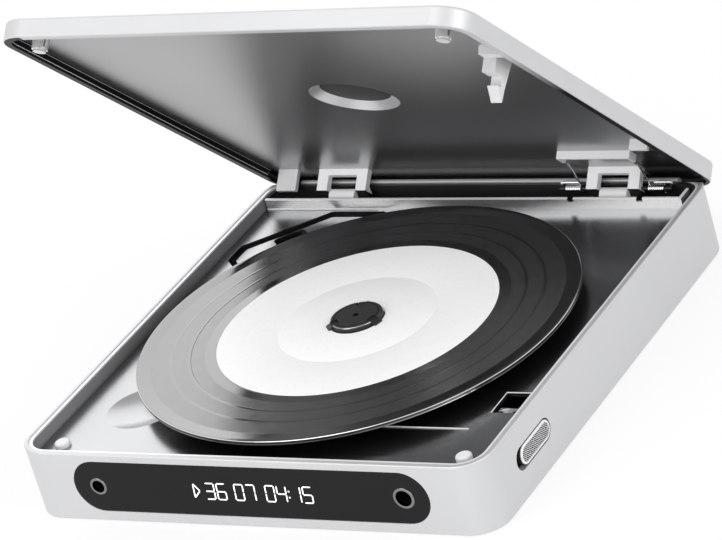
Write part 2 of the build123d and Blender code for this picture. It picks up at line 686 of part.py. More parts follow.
def relieve_rear(shell):
    """Round the rear rim about the hinge axis so that the lid wall can swing past it."""
    straight = HALF_W - CASE_CORNER - LID_REAR_WALL
    lift = LID_BOTTOM - HINGE_Z
    swing = math.hypot(HALF_D - LID_REAR_WALL - HINGE_Y, lift) - LID_GAP
    tight = lift - LID_GAP
    top = BASE_HEIGHT + CUT
    across = block(-straight, straight, HINGE_Y, HALF_D + CUT, HINGE_Z, top)
    shell -= across - rod_x(-CASE_WIDTH, CASE_WIDTH, HINGE_Y, HINGE_Z, swing)
    for side in (-1, 1):
        corner = block(side * straight, side * (HALF_W + CUT), HINGE_Y, HALF_D + CUT, HINGE_Z, top)
        shell -= corner - rod_x(-CASE_WIDTH, CASE_WIDTH, HINGE_Y, HINGE_Z, tight)
    return shell


def keyhole(x, z0, z1, entry, slot):
    """Round entry with a slot running towards the hinge side."""
    shape = post(x, KEYHOLE_Y, z0, z1, entry) + post(x, KEYHOLE_Y + KEYHOLE_RISE, z0, z1, slot)
    return shape + block(x - slot, x + slot, KEYHOLE_Y, KEYHOLE_Y + KEYHOLE_RISE, z0, z1)


def damper_points():
    inner = [drive_point(-DAMPER_INNER, side) for side in (DAMPER_INNER_SIDE, -DAMPER_INNER_SIDE)]
    outer = [drive_point(DAMPER_OUTER, side) for side in (DAMPER_OUTER_SIDE, -DAMPER_OUTER_SIDE)]
    return inner + outer


def board_posts():
    left = BOARD_LEFT + BOARD_POST_INSET
    right = BATTERY_LEFT - 2 * BOARD_POST_INSET
    front = BOARD_STEP - BOARD_POST_INSET
    return [(left, front), (right, front), (right, BOARD_REAR - BOARD_POST_INSET),
            (left, USB_Y - 2 * BOARD_PAST_USB)]


def make_bottom_cover():
    cover = case_slab(WALL + FIT, 0, COVER_THICKNESS)
    cup_top = COVER_THICKNESS + KEYHOLE_CUP
    room = KEYHOLE_ENTRY + KEYHOLE_ROOM
    for x in KEYHOLE_XS:
        cup = room + KEYHOLE_CUP_WALL
        cover += keyhole(x, COVER_THICKNESS - WELD, cup_top, cup, cup)
        cover -= keyhole(x, COVER_THICKNESS, cup_top - KEYHOLE_CUP_WALL, room, room)
        cover -= keyhole(x, -CUT, COVER_THICKNESS + WELD, KEYHOLE_ENTRY, KEYHOLE_SLOT)
    for x, y in PADS:
        cover -= post(x, y, -CUT, PAD_THICKNESS, PAD_RADIUS + RUN)
    for x, y in POSTS:
        cover -= post(x, y, -CUT, COVER_THICKNESS + CUT, SCREW_RADIUS + FIT)
        cover -= post(x, y, -CUT, SCREW_HEAD_THICKNESS + WELD, SCREW_HEAD + WELD)
    for x, y in damper_points():
        cover += post(x, y, COVER_THICKNESS - WELD, DAMPER_BOTTOM, DAMPER_BOSS)
        cover -= post(x, y, DAMPER_SCREW_START, DAMPER_BOTTOM + CUT, DAMPER_SCREW + SNUG)
    for x, y in board_posts():
        cover += post(x, y, COVER_THICKNESS - WELD, BOARD_Z, BOARD_POST)
    return cover


def make_wall_pads():
    return [post(x, y, 0, PAD_THICKNESS, PAD_RADIUS) for x, y in PADS]


def make_cover_screws():
    screws = []
    head_top = WELD + SCREW_HEAD_THICKNESS
    for x, y in POSTS:
        screw = post(x, y, WELD, head_top, SCREW_HEAD)
        screw += post(x, y, head_top, COVER_THICKNESS + SCREW_REACH, SCREW_RADIUS)
        for turn in (0, 90):
            screw -= Pos(x, y, WELD) * Rot(0, 0, turn) * Box(2 * SCREW_HEAD - CUT, SCREW_SLOT, 2 * SCREW_SLOT)
        screws.append(screw)
    return screws


def make_deck_plate():
    deck = case_slab(WALL + DECK_GAP, DECK_BOTTOM, DECK_TOP) & band(FRONT_Y, LEDGE_REAR)
    left = -INNER_X + DECK_GAP
    right = INNER_X - LEDGE_RIGHT_GAP
    deck -= band(LEDGE_Y, HALF_D)
    deck += block(left, right, LEDGE_Y - WELD, LEDGE_REAR, DECK_BOTTOM, LEDGE_TOP)
    deck -= block(left - CUT, right + CUT, LEDGE_Y - CUT, LEDGE_Y, DECK_TOP, BASE_HEIGHT)
    return_end = LEDGE_REAR + LEDGE_RETURN
    deck += block(right - LEDGE_THICKNESS, right, LEDGE_REAR - WELD, return_end, DECK_TOP, LEDGE_TOP)
    for leg in SPRING_LEGS:
        x = leg + NOTCH_SHIFT
        deck -= block(x - NOTCH_WIDTH / 2, x + NOTCH_WIDTH / 2, LEDGE_Y - CUT, LEDGE_REAR + CUT,
                      LEDGE_TOP - NOTCH_DEPTH, LEDGE_TOP + CUT)
    for x, y in POSTS:
        deck += post(x, y, COVER_THICKNESS, DECK_BOTTOM + WELD, POST_RADIUS)
        deck -= post(x, y, COVER_THICKNESS - CUT, COVER_THICKNESS + SCREW_REACH + CUT, SCREW_RADIUS + SNUG)
    deck -= Pos(0, 0, DECK_BOTTOM - CUT) * extrude(bay_outline(0), DECK_THICKNESS + 2 * CUT)
    # finger scoop under the disc edge and the shallow label field
    ball = (DIMPLE_RADIUS ** 2 + DIMPLE_DEPTH ** 2) / (2 * DIMPLE_DEPTH)
    x = -HALF_W + DIMPLE_FROM_SIDE
    y = FRONT_Y + DIMPLE_FROM_FRONT
    deck += post(x, y, DECK_BOTTOM - DIMPLE_CUP_DEPTH, DECK_BOTTOM + WELD, DIMPLE_CUP_RADIUS)
    deck -= Pos(x, y, DECK_TOP + ball - DIMPLE_DEPTH) * Sphere(ball)
    label_right = HALF_W - LABEL_FROM_SIDE
    label_front = FRONT_Y + LABEL_FROM_FRONT
    deck -= block(label_right - LABEL_WIDTH, label_right, label_front, label_front + LABEL_DEPTH,
                  DECK_TOP - LABEL_SINK, BASE_HEIGHT)
    # slot for the lid latch, and room under the skin for the catch to draw back
    half = LATCH_SLOT_WIDTH / 2
    slot_end = LATCH_FRONT + LATCH_SLOT_LENGTH
    deck -= block(LATCH_X - half, LATCH_X + half, LATCH_FRONT, slot_end, 0, BASE_HEIGHT)
    room = CATCH_TOP + CATCH_ROOM / 2
    drawn = RELEASE_TRAVEL + CATCH_ROOM
    deck -= block(LATCH_X - half, LATCH_X + half, CATCH_FRONT - drawn, LATCH_FRONT + WELD, 0, room)
    stem = CATCH_STEM_WIDTH / 2 + CATCH_ROOM
    arm = LATCH_FRONT - CATCH_STEM_LENGTH
    deck -= block(LATCH_X - stem, LATCH_X + stem, arm - drawn, LATCH_FRONT, 0, room)
    arm_end = arm + CATCH_ARM_WIDTH + CATCH_ROOM
    deck -= block(LATCH_X, HALF_W, arm - drawn, arm_end, 0, CATCH_BOTTOM + CATCH_ROOM)
    for x, y in BUMPERS:
        deck -= post(x, y, DECK_TOP - BUMPER_SINK, BASE_HEIGHT, BUMPER_RADIUS + SNUG)
    return deck


def make_deck_bumpers():
    bumpers = []
    for x, y in BUMPERS:
        bumper = post(x, y, DECK_TOP - BUMPER_SINK, DECK_TOP + BUMPER_RISE, BUMPER_RADIUS)
        bumpers.append(fillet(bumper.faces().sort_by(Axis.Z)[-1].edges(), BUMPER_ROUND))
    return bumpers


def make_hinge_trough():
    """Open channel behind the ledge, lined in black."""
    front = LEDGE_Y + FIT
    rear = INNER_REAR - FIT
    outer = case_slab(WALL + FIT, TROUGH_BOTTOM, BASE_HEIGHT - TROUGH_REAR_DROP) & band(front, HALF_D)
    inner = case_slab(WALL + FIT + TROUGH_WALL, TROUGH_FLOOR, BASE_HEIGHT) & band(front + TROUGH_WALL, rear)
    opening = block(-CASE_WIDTH, CASE_WIDTH, front - CUT, front + TROUGH_WALL, DECK_BOTTOM - SNUG, CASE_WIDTH)
    return outer - inner - opening


def make_hinge_knuckles():
    """Rounded tongues standing in the trough, one in each bracket."""
    knuckles = []
    half = KNUCKLE_WIDTH / 2
    crown_y = HINGE_Y - KNUCKLE_FORWARD
    crown_z = HINGE_Z + KNUCKLE_RISE
    for middle in HINGE_XS:
        left = middle + KNUCKLE_SHIFT - half
        right = middle + KNUCKLE_SHIFT + half
        body = rod_x(left, right, crown_y, crown_z, KNUCKLE_RADIUS)
        body += block(left, right, crown_y - KNUCKLE_NECK, crown_y + KNUCKLE_RADIUS, TROUGH_FLOOR, crown_z)
        body += rod_x(left, right, HINGE_Y, HINGE_Z, HINGE_BOSS)
        bore = rod_x(left - CUT, right + CUT, HINGE_Y, HINGE_Z, HINGE_PIN_RADIUS + SNUG)
        knuckles.append(body - bore)
    return knuckles


def make_hinge_pins():
    reach = BRACKET_WIDTH / 2 + PEG_TIP
    return [rod_x(x - reach, x + reach, HINGE_Y, HINGE_Z, HINGE_PIN_RADIUS) for x in HINGE_XS]


# ---- front ----
def jack_places():
    left = (WINDOW_SHIFT - JACK_X, SMALL_JACK_RING, SMALL_JACK_BORE)
    right = (WINDOW_SHIFT + JACK_X, LARGE_JACK_RING, LARGE_JACK_BORE)
    return [left, right]


def make_front_window():
    glass = front_pill(WINDOW_SHIFT, WINDOW_Z, WINDOW_WIDTH - FIT, WINDOW_HEIGHT - FIT, FRONT_Y, JACK_FRONT)
    glass = fillet(glass.faces().sort_by(Axis.Y)[0].edges(), WINDOW_ROUND)
    for x, ring, bore in jack_places():
        glass -= rod_y(FRONT_Y - CUT, JACK_FRONT + CUT, x, WINDOW_Z, ring + SNUG)
    return glass


def make_jack_bezels():
    rings = []
    for x, ring, bore in jack_places():
        tube = rod_y(FRONT_Y - JACK_RING_PROUD, JACK_FRONT, x, WINDOW_Z, ring)
        tube = fillet(tube.faces().sort_by(Axis.Y)[0].edges(), JACK_RING_ROUND)
        rings.append(tube - rod_y(FRONT_Y - CUT, JACK_FRONT + CUT, x, WINDOW_Z, bore))
    return rings


def make_jack(x, bore):
    rear = JACK_FRONT + JACK_LENGTH
    low = WINDOW_Z - JACK_RELIEF
    body = block(x - JACK_HALF, x + JACK_HALF, JACK_FRONT, rear, low, WINDOW_Z + JACK_RELIEF)
    foot = block(x - JACK_HALF, x + JACK_HALF, rear - 2 * JACK_HALF, rear, BOARD_TOP, low + WELD)
    return body + foot - rod_y(JACK_FRONT - CUT, rear - JACK_BACK, x, WINDOW_Z, bore)


def make_display_module():
    half = JACK_X - DISPLAY_FROM_JACK
    low = WINDOW_Z - DISPLAY_HEIGHT / 2
    return block(WINDOW_SHIFT - half, WINDOW_SHIFT + half, JACK_FRONT, JACK_FRONT + DISPLAY_THICKNESS,
                 low, low + DISPLAY_HEIGHT)


def make_display_board():
    front = JACK_FRONT + DISPLAY_THICKNESS
    half = JACK_X - DISPLAY_BOARD_FROM_JACK
    return block(WINDOW_SHIFT - half, WINDOW_SHIFT + half, front, front + DISPLAY_BOARD_THICKNESS,
                 BOARD_TOP, DECK_BOTTOM - DISPLAY_BOARD_GAP)


# ---- electronics ----
def make_main_board():
    """L-shaped board: front strip, centre part, left strip and a tab for the data socket."""
    board = block(BOARD_LEFT, BOARD_RIGHT, BOARD_FRONT, BOARD_STEP, BOARD_Z, BOARD_TOP)
    middle = BATTERY_LEFT - BOARD_POST_INSET
    strip = BOARD_LEFT + BOARD_SIDE_WIDTH
    end = USB_Y + BOARD_PAST_USB
    board += block(BOARD_LEFT, middle, BOARD_STEP - CUT, BOARD_REAR, BOARD_Z, BOARD_TOP)
    board += block(BOARD_LEFT, strip, BOARD_REAR - CUT, end, BOARD_Z, BOARD_TOP)
    board += block(USB_X + USB_FOOT, BOARD_LEFT + CUT, USB_Y - BOARD_PAST_USB, end, BOARD_Z, BOARD_TOP)
    for x, y in POSTS:
        board -= post(x, y, 0, BASE_HEIGHT, POST_RADIUS + BOARD_POST_MARGIN)
    return board


def make_board_chips():
    """Packages over the middle of the board and on its left strip."""
    places = []
    for across, forward, side, height in CHIPS:
        x = BOARD_LEFT + across * (BOARD_RIGHT - BOARD_LEFT)
        y = BOARD_REAR - forward * (BOARD_REAR - BOARD_STEP) - side / 2
        places.append((x, y, side, height))
    for back, side, height in STRIP_CHIPS:
        y = BOARD_REAR + back * (USB_Y - BOARD_REAR)
        places.append((BOARD_LEFT + BOARD_SIDE_WIDTH / 2, y, 2 * side, height))
    chips = []
    for x, y, side, height in places:
        half = side / 2
        chips.append(block(x - half, x + half, y - half, y + half, BOARD_TOP, BOARD_TOP + height))
    return chips


def make_battery():
    pack = block(BATTERY_LEFT, INNER_X - BATTERY_FROM_SIDE, SPINDLE_Y - BATTERY_BEFORE_SPINDLE,
                 SPINDLE_Y + BATTERY_BEHIND_SPINDLE, COVER_THICKNESS, COVER_THICKNESS + BATTERY_THICKNESS)
    return fillet(pack.edges().filter_by(Axis.Y), BATTERY_ROUND)


def make_usb_port():
    inner = 2 * USB_WALL
    shell = side_pill(USB_Y, USB_Z, USB_WIDTH, USB_HEIGHT, USB_X, USB_X + USB_DEPTH)
    shell -= side_pill(USB_Y, USB_Z, USB_WIDTH - inner, USB_HEIGHT - inner, USB_X - CUT,
                       USB_X + USB_DEPTH - USB_BACK)
    tongue = block(USB_X + CUT, USB_X + USB_DEPTH - USB_BACK + WELD, USB_Y - USB_TONGUE / 2,
                   USB_Y + USB_TONGUE / 2, USB_Z - USB_TONGUE_THICKNESS / 2, USB_Z + USB_TONGUE_THICKNESS / 2)
    foot = block(USB_X + USB_FOOT, USB_X + USB_DEPTH, USB_Y - USB_TONGUE / 2, USB_Y + USB_TONGUE / 2,
                 BOARD_TOP, USB_Z - USB_HEIGHT / 2 + USB_WALL - SNUG)
    return shell + tongue + foot


def make_button_board():
    front = POST_FRONT_Y + POST_RADIUS + BOARD_POST_MARGIN
    rear = POST_MIDDLE_Y - POST_RADIUS - BOARD_POST_MARGIN
    back = BUTTON_BOARD_X + BUTTON_BOARD_THICKNESS
    return block(BUTTON_BOARD_X, back, front, rear, BUTTON_BOARD_BOTTOM, DECK_BOTTOM)


def make_tact_switches():
    places = [ROCKER_Y - ROCKER_STEMS, ROCKER_Y + ROCKER_STEMS] + BUTTON_YS
    half = SWITCH_SIZE / 2
    face = BUTTON_BOARD_X - SWITCH_DEPTH
    return [block(face, BUTTON_BOARD_X, y - half, y + half, BUTTON_Z - half, BUTTON_Z + half)
            for y in places]


def make_button(y, length, stems, slack):
    """Side button: cap through the wall, flange behind it and a stem for each switch."""
    behind = -INNER_X + slack
    cap = side_pill(y, BUTTON_Z, length, BUTTON_HEIGHT, -HALF_W - BUTTON_PROUD, behind + WELD)
    cap = fillet(cap.faces().sort_by(Axis.X)[0].edges(), BUTTON_ROUND)
    cap += side_pill(y, BUTTON_Z, length + 2 * BUTTON_FLANGE, BUTTON_HEIGHT + 2 * BUTTON_FLANGE,
                     behind, behind + BUTTON_FLANGE_THICKNESS)
    tip = BUTTON_BOARD_X - SWITCH_DEPTH - BUTTON_TRAVEL - SWITCH_GAP
    for offset in stems:
        cap += rod_x(behind + WELD, tip, y + offset, BUTTON_Z, BUTTON_STEM)
    return cap


def make_rocker():
    return make_button(ROCKER_Y, ROCKER_LENGTH, (-ROCKER_STEMS, ROCKER_STEMS), ROCKER_SLACK)


# ---- drive ----
def cover_post_points():
    ends = CHASSIS_SIDE / 3
    inner = DAMPER_INNER + CHASSIS_END - CUT
    outer = DAMPER_OUTER + ROD_RADIUS
    gears = BAY_GEAR_SIDE - BAY_GAP - COVER_POST_RADIUS
    points = [(-inner, -ends), (-inner, ends), (outer, -ends), (outer, ends)]
    points += [(GEAR_STATION - 2 * GEAR_SIDE / 3, gears), (PINION_STATION + GEAR_SIDE * 2 / 3, gears)]
    return [drive_point(station, side) for station, side in points]


def make_drive_cover():
    plate = Pos(0, 0, DRIVE_COVER_BOTTOM) * extrude(bay_outline(BAY_GAP), DRIVE_COVER_THICKNESS)
    end = ROD_END - CLIP_LENGTH
    length = end - COVER_WINDOW_START
    window = Pos(COVER_WINDOW_START + length / 2, 0) * SlotOverall(length, 2 * COVER_WINDOW_SIDE)
    tail = RectangleRounded(2 * COVER_WINDOW_TAIL, COVER_WINDOW_SIDE, COVER_WINDOW_CORNER)
    tail = Pos(end, -COVER_WINDOW_OFFSET) * tail
    plate -= in_drive(extrude(window + tail, BASE_HEIGHT))
    plate -= post(0, SPINDLE_Y, 0, BASE_HEIGHT, COVER_EYE)
    for x, y in cover_post_points():
        plate += post(x, y, CHASSIS_TOP, DRIVE_COVER_BOTTOM + WELD, COVER_POST_RADIUS)
    return plate


def make_drive_chassis():
    end = DAMPER_OUTER + CHASSIS_END
    plate = Pos((end - CHASSIS_START) / 2, 0) * Rectangle(end + CHASSIS_START, 2 * CHASSIS_SIDE)
    wing = GEAR_SIDE - CHASSIS_SIDE + SLED_MOTOR_RADIUS
    span = PINION_STATION - GEAR_STATION + 2 * SLED_MOTOR_RADIUS + 2 * PINION_PITCH + LARGE_PITCH
    wing_place = Pos((GEAR_STATION + PINION_STATION) / 2, -CHASSIS_SIDE - wing / 2 + CUT)
    plate += wing_place * Rectangle(span, wing + CUT)
    plate = in_drive(plate) & bay_clip(CHASSIS_GAP)
    chassis = Pos(0, 0, CHASSIS_Z) * extrude(plate, CHASSIS_THICKNESS)
    for x, y in damper_points():
        chassis -= post(x, y, 0, BASE_HEIGHT, DAMPER_NECK + SNUG)
    x, y = drive_point(PINION_STATION, GEAR_SIDE)
    chassis -= post(x, y, 0, BASE_HEIGHT, SLED_NOSE + WELD)
    window = Pos(LENS_REST, 0, CHASSIS_Z) * Box(CHASSIS_WINDOW_LENGTH, CHASSIS_WINDOW_WIDTH, BASE_HEIGHT)
    return chassis - in_drive(window)


def make_rubber_dampers():
    dampers = []
    for x, y in damper_points():
        body = post(x, y, DAMPER_BOTTOM, CHASSIS_Z, DAMPER_RADIUS)
        body += post(x, y, CHASSIS_Z - WELD, CHASSIS_TOP + WELD, DAMPER_NECK)
        body += post(x, y, CHASSIS_TOP, DAMPER_TOP, DAMPER_RADIUS)
        dampers.append(body - post(x, y, 0, BASE_HEIGHT, DAMPER_SCREW + RUN))
    return dampers


def make_damper_screws():
    return [post(x, y, DAMPER_TOP, DAMPER_TOP + DAMPER_SCREW_HEAD_THICKNESS, DAMPER_SCREW_HEAD)
            + post(x, y, DAMPER_SCREW_START, DAMPER_TOP + WELD, DAMPER_SCREW) for x, y in damper_points()]


def make_spindle_motor():
    motor = post(0, SPINDLE_Y, CHASSIS_TOP, MOTOR_TOP, MOTOR_RADIUS)
    motor = fillet(motor.faces().sort_by(Axis.Z)[-1].edges(), MOTOR_ROUND)
    motor += post(0, SPINDLE_Y, MOTOR_TOP - WELD, MOTOR_TOP + MOTOR_NOSE_HEIGHT, MOTOR_NOSE)
    return motor - post(0, SPINDLE_Y, CHASSIS_TOP + MOTOR_ROUND, BASE_HEIGHT, SHAFT_RADIUS + RUN)


def make_guide_rods():
    rods = [rod_x(ROD_START, ROD_END, -side, ROD_Z, ROD_RADIUS) for side in (ROD_SIDE_MAIN, ROD_SIDE_GUIDE)]
    return [in_drive(rod) for rod in rods]


def make_rod_clips():
    clips = []
    inner = ROD_START - CLIP_PAST
    outer = ROD_END + CLIP_PAST - CLIP_LENGTH
    for side in (ROD_SIDE_MAIN, ROD_SIDE_GUIDE):
        for start in (inner, outer):
            clip = block(start, start + CLIP_LENGTH, -side - CLIP_HALF_WIDTH, -side + CLIP_HALF_WIDTH,
                         CHASSIS_TOP, ROD_Z + CLIP_ABOVE)
            clip -= rod_x(ROD_START, ROD_END, -side, ROD_Z, ROD_RADIUS + SNUG / 2)
            clips.append(in_drive(clip))
    return clips


def make_sled_motor():
    x, y = drive_point(PINION_STATION, GEAR_SIDE)
    motor = post(x, y, CHASSIS_Z - SLED_MOTOR_HEIGHT, CHASSIS_Z, SLED_MOTOR_RADIUS)
    motor = fillet(motor.faces().sort_by(Axis.Z)[0].edges(), MOTOR_ROUND)
    motor += post(x, y, CHASSIS_Z - WELD, CHASSIS_TOP - WELD, SLED_NOSE)
    return motor - post(x, y, CHASSIS_Z - SLED_SHAFT_DEPTH - FIT, CHASSIS_TOP + CUT, SLED_SHAFT_RADIUS + RUN)


def make_gear_post():
    x, y = drive_point(GEAR_STATION, GEAR_SIDE)
    head = GEAR_TOP + GEAR_STEP
    pin = post(x, y, CHASSIS_TOP, head + WELD, GEAR_POST_RADIUS)
    pin += post(x, y, head, head + GEAR_POST_HEAD_THICKNESS, GEAR_POST_HEAD)
    return pin + post(x, y, CHASSIS_TOP, LARGE_GEAR_Z - WELD, GEAR_POST_FOOT)


def make_spindle_hub():
    low = MOTOR_TOP + MOTOR_ROUND
    hub = post(0, SPINDLE_Y, low, DISC_BOTTOM, HUB_STEM)
    flange = post(0, SPINDLE_Y, DISC_BOTTOM - HUB_FLANGE_THICKNESS, DISC_BOTTOM, HUB_FLANGE)
    hub += chamfer(flange.faces().sort_by(Axis.Z)[0].edges(), MOTOR_ROUND)
    pad = DISC_BOTTOM - HUB_PAD_HEIGHT
    hub -= disc_ring(HUB_FLANGE - HUB_PAD_WIDTH, DISC_HOLE + CUT, pad, DISC_BOTTOM + CUT)
    boss = post(0, SPINDLE_Y, pad, HUB_TOP, HUB_BOSS)
    hub += fillet(boss.faces().sort_by(Axis.Z)[-1].edges(), HUB_ROUND)
    hub += post(0, SPINDLE_Y, CHASSIS_TOP + MOTOR_ROUND + JAW_GAP, low + WELD, SHAFT_RADIUS)
    hub -= post(0, SPINDLE_Y, HUB_TOP - HUB_EYE_DEPTH, HUB_TOP + CUT, HUB_EYE)
    hub -= disc_ring(HUB_GROOVE, HUB_GROOVE - HUB_GROOVE_WIDTH, HUB_TOP - HUB_GROOVE_DEPTH, HUB_TOP + CUT)
    half = JAW_WIDTH / 2 + RUN
    edge = HUB_BOSS + CUT
    for turn in JAW_ANGLES:
        pocket = block(JAW_ROOT, edge, -half, half, DISC_BOTTOM + HUB_ROUND, HUB_TOP - JAW_GAP + RUN)
        pocket += block(JAW_OPEN, edge, -half, half, DISC_TOP, HUB_TOP + CUT)
        hub -= Pos(0, SPINDLE_Y, 0) * Rot(0, 0, turn) * pocket
    return hub


def make_hub_jaws():
    """Sprung jaws that reach through the boss and over the rim of the disc hole."""
    low = DISC_TOP + FIT
    bottom = DISC_BOTTOM + HUB_ROUND
    neck = DISC_HOLE - JAW_GAP
    top = HUB_TOP - JAW_GAP
    outline = [(JAW_ROOT, bottom), (neck, bottom), (neck, low), (JAW_REACH, low),
               (JAW_REACH, low + HUB_PAD_HEIGHT), (HUB_BOSS, top), (JAW_ROOT, top)]
    plane = Plane(origin=(0, JAW_WIDTH / 2, 0), x_dir=(1, 0, 0), z_dir=(0, -1, 0))
    jaw = extrude(plane * make_face(Polyline(*outline, close=True)), JAW_WIDTH)
    return [Pos(0, SPINDLE_Y, 0) * Rot(0, 0, turn) * jaw for turn in JAW_ANGLES]


def make_disc():
    disc = disc_ring(DISC_RADIUS, DISC_HOLE, DISC_BOTTOM, DISC_TOP)
    half = STACK_RING_WIDTH / 2
    low = DISC_BOTTOM - STACK_RING_HEIGHT
    return disc + disc_ring(STACK_RING + half, STACK_RING - half, low, DISC_BOTTOM + WELD)


def make_pickup_sled():
    near = LENS_REST - SLED_BEHIND
    far = LENS_REST + SLED_AHEAD
    rack_line = -RACK_SIDE + RACK_BACK
    body = block(near, far, -ROD_SIDE_GUIDE - SLED_ROD_EDGE, -ROD_SIDE_MAIN + SLED_ROD_EDGE,
                 CHASSIS_TOP + SLED_FLOOR_GAP, SLED_TOP)
    body += block(near, far, rack_line, -ROD_SIDE_GUIDE, SMALL_GEAR_Z + GEAR_STEP, SLED_TOP)
    for side in (ROD_SIDE_MAIN, ROD_SIDE_GUIDE):
        body -= rod_x(near - CUT, far + CUT, -side, ROD_Z, ROD_RADIUS + RUN)
    body += post(LENS_REST, 0, SLED_TOP - WELD, DISC_BOTTOM - LENS_GAP - ACTUATOR_RISE, ACTUATOR_RADIUS)
    body += block(LENS_REST - ACTUATOR_HALF_LENGTH, LENS_REST + ACTUATOR_HALF_LENGTH, -ACTUATOR_HALF_WIDTH,
                  ACTUATOR_HALF_WIDTH, SLED_TOP - WELD, SLED_TOP + ACTUATOR_RISE)
    body -= post(LENS_REST, 0, SLED_TOP + WELD, BASE_HEIGHT, LENS_RADIUS + LENS_RIM + RUN)
    return in_drive(body)


def make_pickup_lens():
    top = DISC_BOTTOM - LENS_GAP
    ring = post(LENS_REST, 0, SLED_TOP + WELD, top - LENS_DOME / 2, LENS_RADIUS + LENS_RIM)
    dome = Pos(LENS_REST, 0, top - LENS_CURVE) * Sphere(LENS_CURVE)
    return in_drive(ring + (dome & post(LENS_REST, 0, top - LENS_DOME, top, LENS_RADIUS)))


def make_sled_rack():
    """Straight rack on the gear side of the sled, one gap centred on the compound gear."""
    pitch = math.pi * GEAR_MODULE
    root = -RACK_SIDE + 1.05 * GEAR_MODULE
    tip = -RACK_SIDE - 0.75 * GEAR_MODULE
    back = -RACK_SIDE + RACK_BACK
    slope = math.tan(math.radians(20))
    half_root = pitch / 4 + 1.05 * GEAR_MODULE * slope - BACKLASH / 4
    half_tip = pitch / 4 - 0.75 * GEAR_MODULE * slope - BACKLASH / 4
    before = math.ceil((LENS_MAX - LENS_REST + RACK_SPARE) / pitch)
    after = math.ceil((LENS_REST - LENS_MIN + RACK_SPARE) / pitch)
    start = GEAR_STATION - before * pitch
    points = [(start, back), (start, root)]
    for tooth in range(before + after):
        middle = start + (tooth + 0.5) * pitch
        points += [(middle - half_root, root), (middle - half_tip, tip), (middle + half_tip, tip),
                   (middle + half_root, root)]
    end = start + (before + after) * pitch
    points += [(end, root), (end, back)]
    face = make_face(Polyline(*points, close=True))
    return in_drive(Pos(0, 0, SMALL_GEAR_Z + GEAR_STEP) * extrude(face, SMALL_FACE - 2 * GEAR_STEP))


def make_compound_gear():
    bore = GEAR_POST_RADIUS + RUN
    wheel = Pos(0, 0, LARGE_GEAR_Z) * gear(LARGE_TEETH, GEAR_FACE, bore)
    small = Pos(0, 0, LARGE_GEAR_Z + GEAR_FACE - RUN) * gear(SMALL_TEETH, SMALL_FACE + GEAR_STEP + RUN, bore)
    return in_drive(Pos(GEAR_STATION, -GEAR_SIDE, 0) * (wheel + small))


def make_motor_pinion():
    wheel = Rot(0, 0, 180 + 180 / PINION_TEETH) * gear(PINION_TEETH, GEAR_FACE, SLED_SHAFT_RADIUS / 2)
    shaft = post(0, 0, CHASSIS_Z - SLED_SHAFT_DEPTH, LARGE_GEAR_Z + GEAR_FACE + JAW_GAP, SLED_SHAFT_RADIUS)
    return in_drive(Pos(PINION_STATION, -GEAR_SIDE, 0) * (Pos(0, 0, LARGE_GEAR_Z) * wheel + shaft))


# ---- lid release ----
def make_release_knob():
    """Dished finger pad in the wall slot."""
    face = HALF_W + RELEASE_PROUD
    rim = 2 * RELEASE_RIM
    pad = side_pill(RELEASE_PAD_Y, RELEASE_Z, RELEASE_PAD_LENGTH, RELEASE_PAD_HEIGHT,
                    INNER_X - RELEASE_PLATE_GAP, face)
    pad = fillet(pad.faces().sort_by(Axis.X)[-1].edges(), RELEASE_ROUND)
    return pad - side_pill(RELEASE_PAD_Y, RELEASE_Z, RELEASE_PAD_LENGTH - rim, RELEASE_PAD_HEIGHT - rim,
                           face - RELEASE_DISH, face + CUT)


def make_release_slider():
    """Dark plate that carries the pad behind the wall and closes the slot."""
    inner = INNER_X - RELEASE_PLATE_GAP
    return block(inner - RELEASE_PLATE, inner, RELEASE_SLOT_FRONT - RELEASE_PLATE_EDGE,
                 RELEASE_SLOT_REAR + RELEASE_TRAVEL + RELEASE_PLATE_EDGE,
                 RELEASE_Z - RELEASE_PLATE_BELOW, RELEASE_Z + RELEASE_PLATE_ABOVE)


def make_latch_catch():
    """Sheet catch carried by the slider, with a T-shaped end under the latch slot."""
    bar = CATCH_BAR_WIDTH / 2
    stem = CATCH_STEM_WIDTH / 2
    plate = INNER_X - RELEASE_PLATE_GAP - RELEASE_PLATE
    low = CATCH_BOTTOM - CATCH_ARM_THICKNESS
    front = LATCH_FRONT - CATCH_STEM_LENGTH
    catch = block(LATCH_X - bar, LATCH_X + bar, CATCH_FRONT, CATCH_REAR, CATCH_BOTTOM, CATCH_TOP)
    catch += block(LATCH_X - stem, LATCH_X + stem, front, CATCH_FRONT + WELD, CATCH_BOTTOM, CATCH_TOP)
    catch += block(LATCH_X - stem, plate, front, front + CATCH_ARM_WIDTH, low, CATCH_BOTTOM + SNUG)
    return catch + block(plate - CATCH_ARM_THICKNESS, plate, front, front + CATCH_ARM_WIDTH,
                         low - CATCH_DROP, low + WELD)


def make_release_spring():
    """Return spring between the slider and its rib, at its pressed length."""
    rear = RELEASE_SLOT_FRONT - RELEASE_PLATE_EDGE - RELEASE_TRAVEL - SWITCH_GAP
    length = rear - SPRING_RIB_Y
    x = INNER_X - RELEASE_PLATE
    z = RELEASE_Z - SLIDER_SPRING_DROP
    pitch = (length - 2 * SLIDER_SPRING_WIRE) / (SLIDER_SPRING_TURNS - 1)
    rings = coil(x, SPRING_RIB_Y + SLIDER_SPRING_WIRE, z, 90, SLIDER_SPRING_RADIUS, SLIDER_SPRING_WIRE,
                 SLIDER_SPRING_TURNS, pitch)
    sleeve = rod_y(SPRING_RIB_Y, rear, x, z, SLIDER_SPRING_RADIUS + RUN)
    return rings + sleeve - rod_y(SPRING_RIB_Y - CUT, rear + CUT, x, z, SLIDER_SPRING_RADIUS - 2 * RUN)


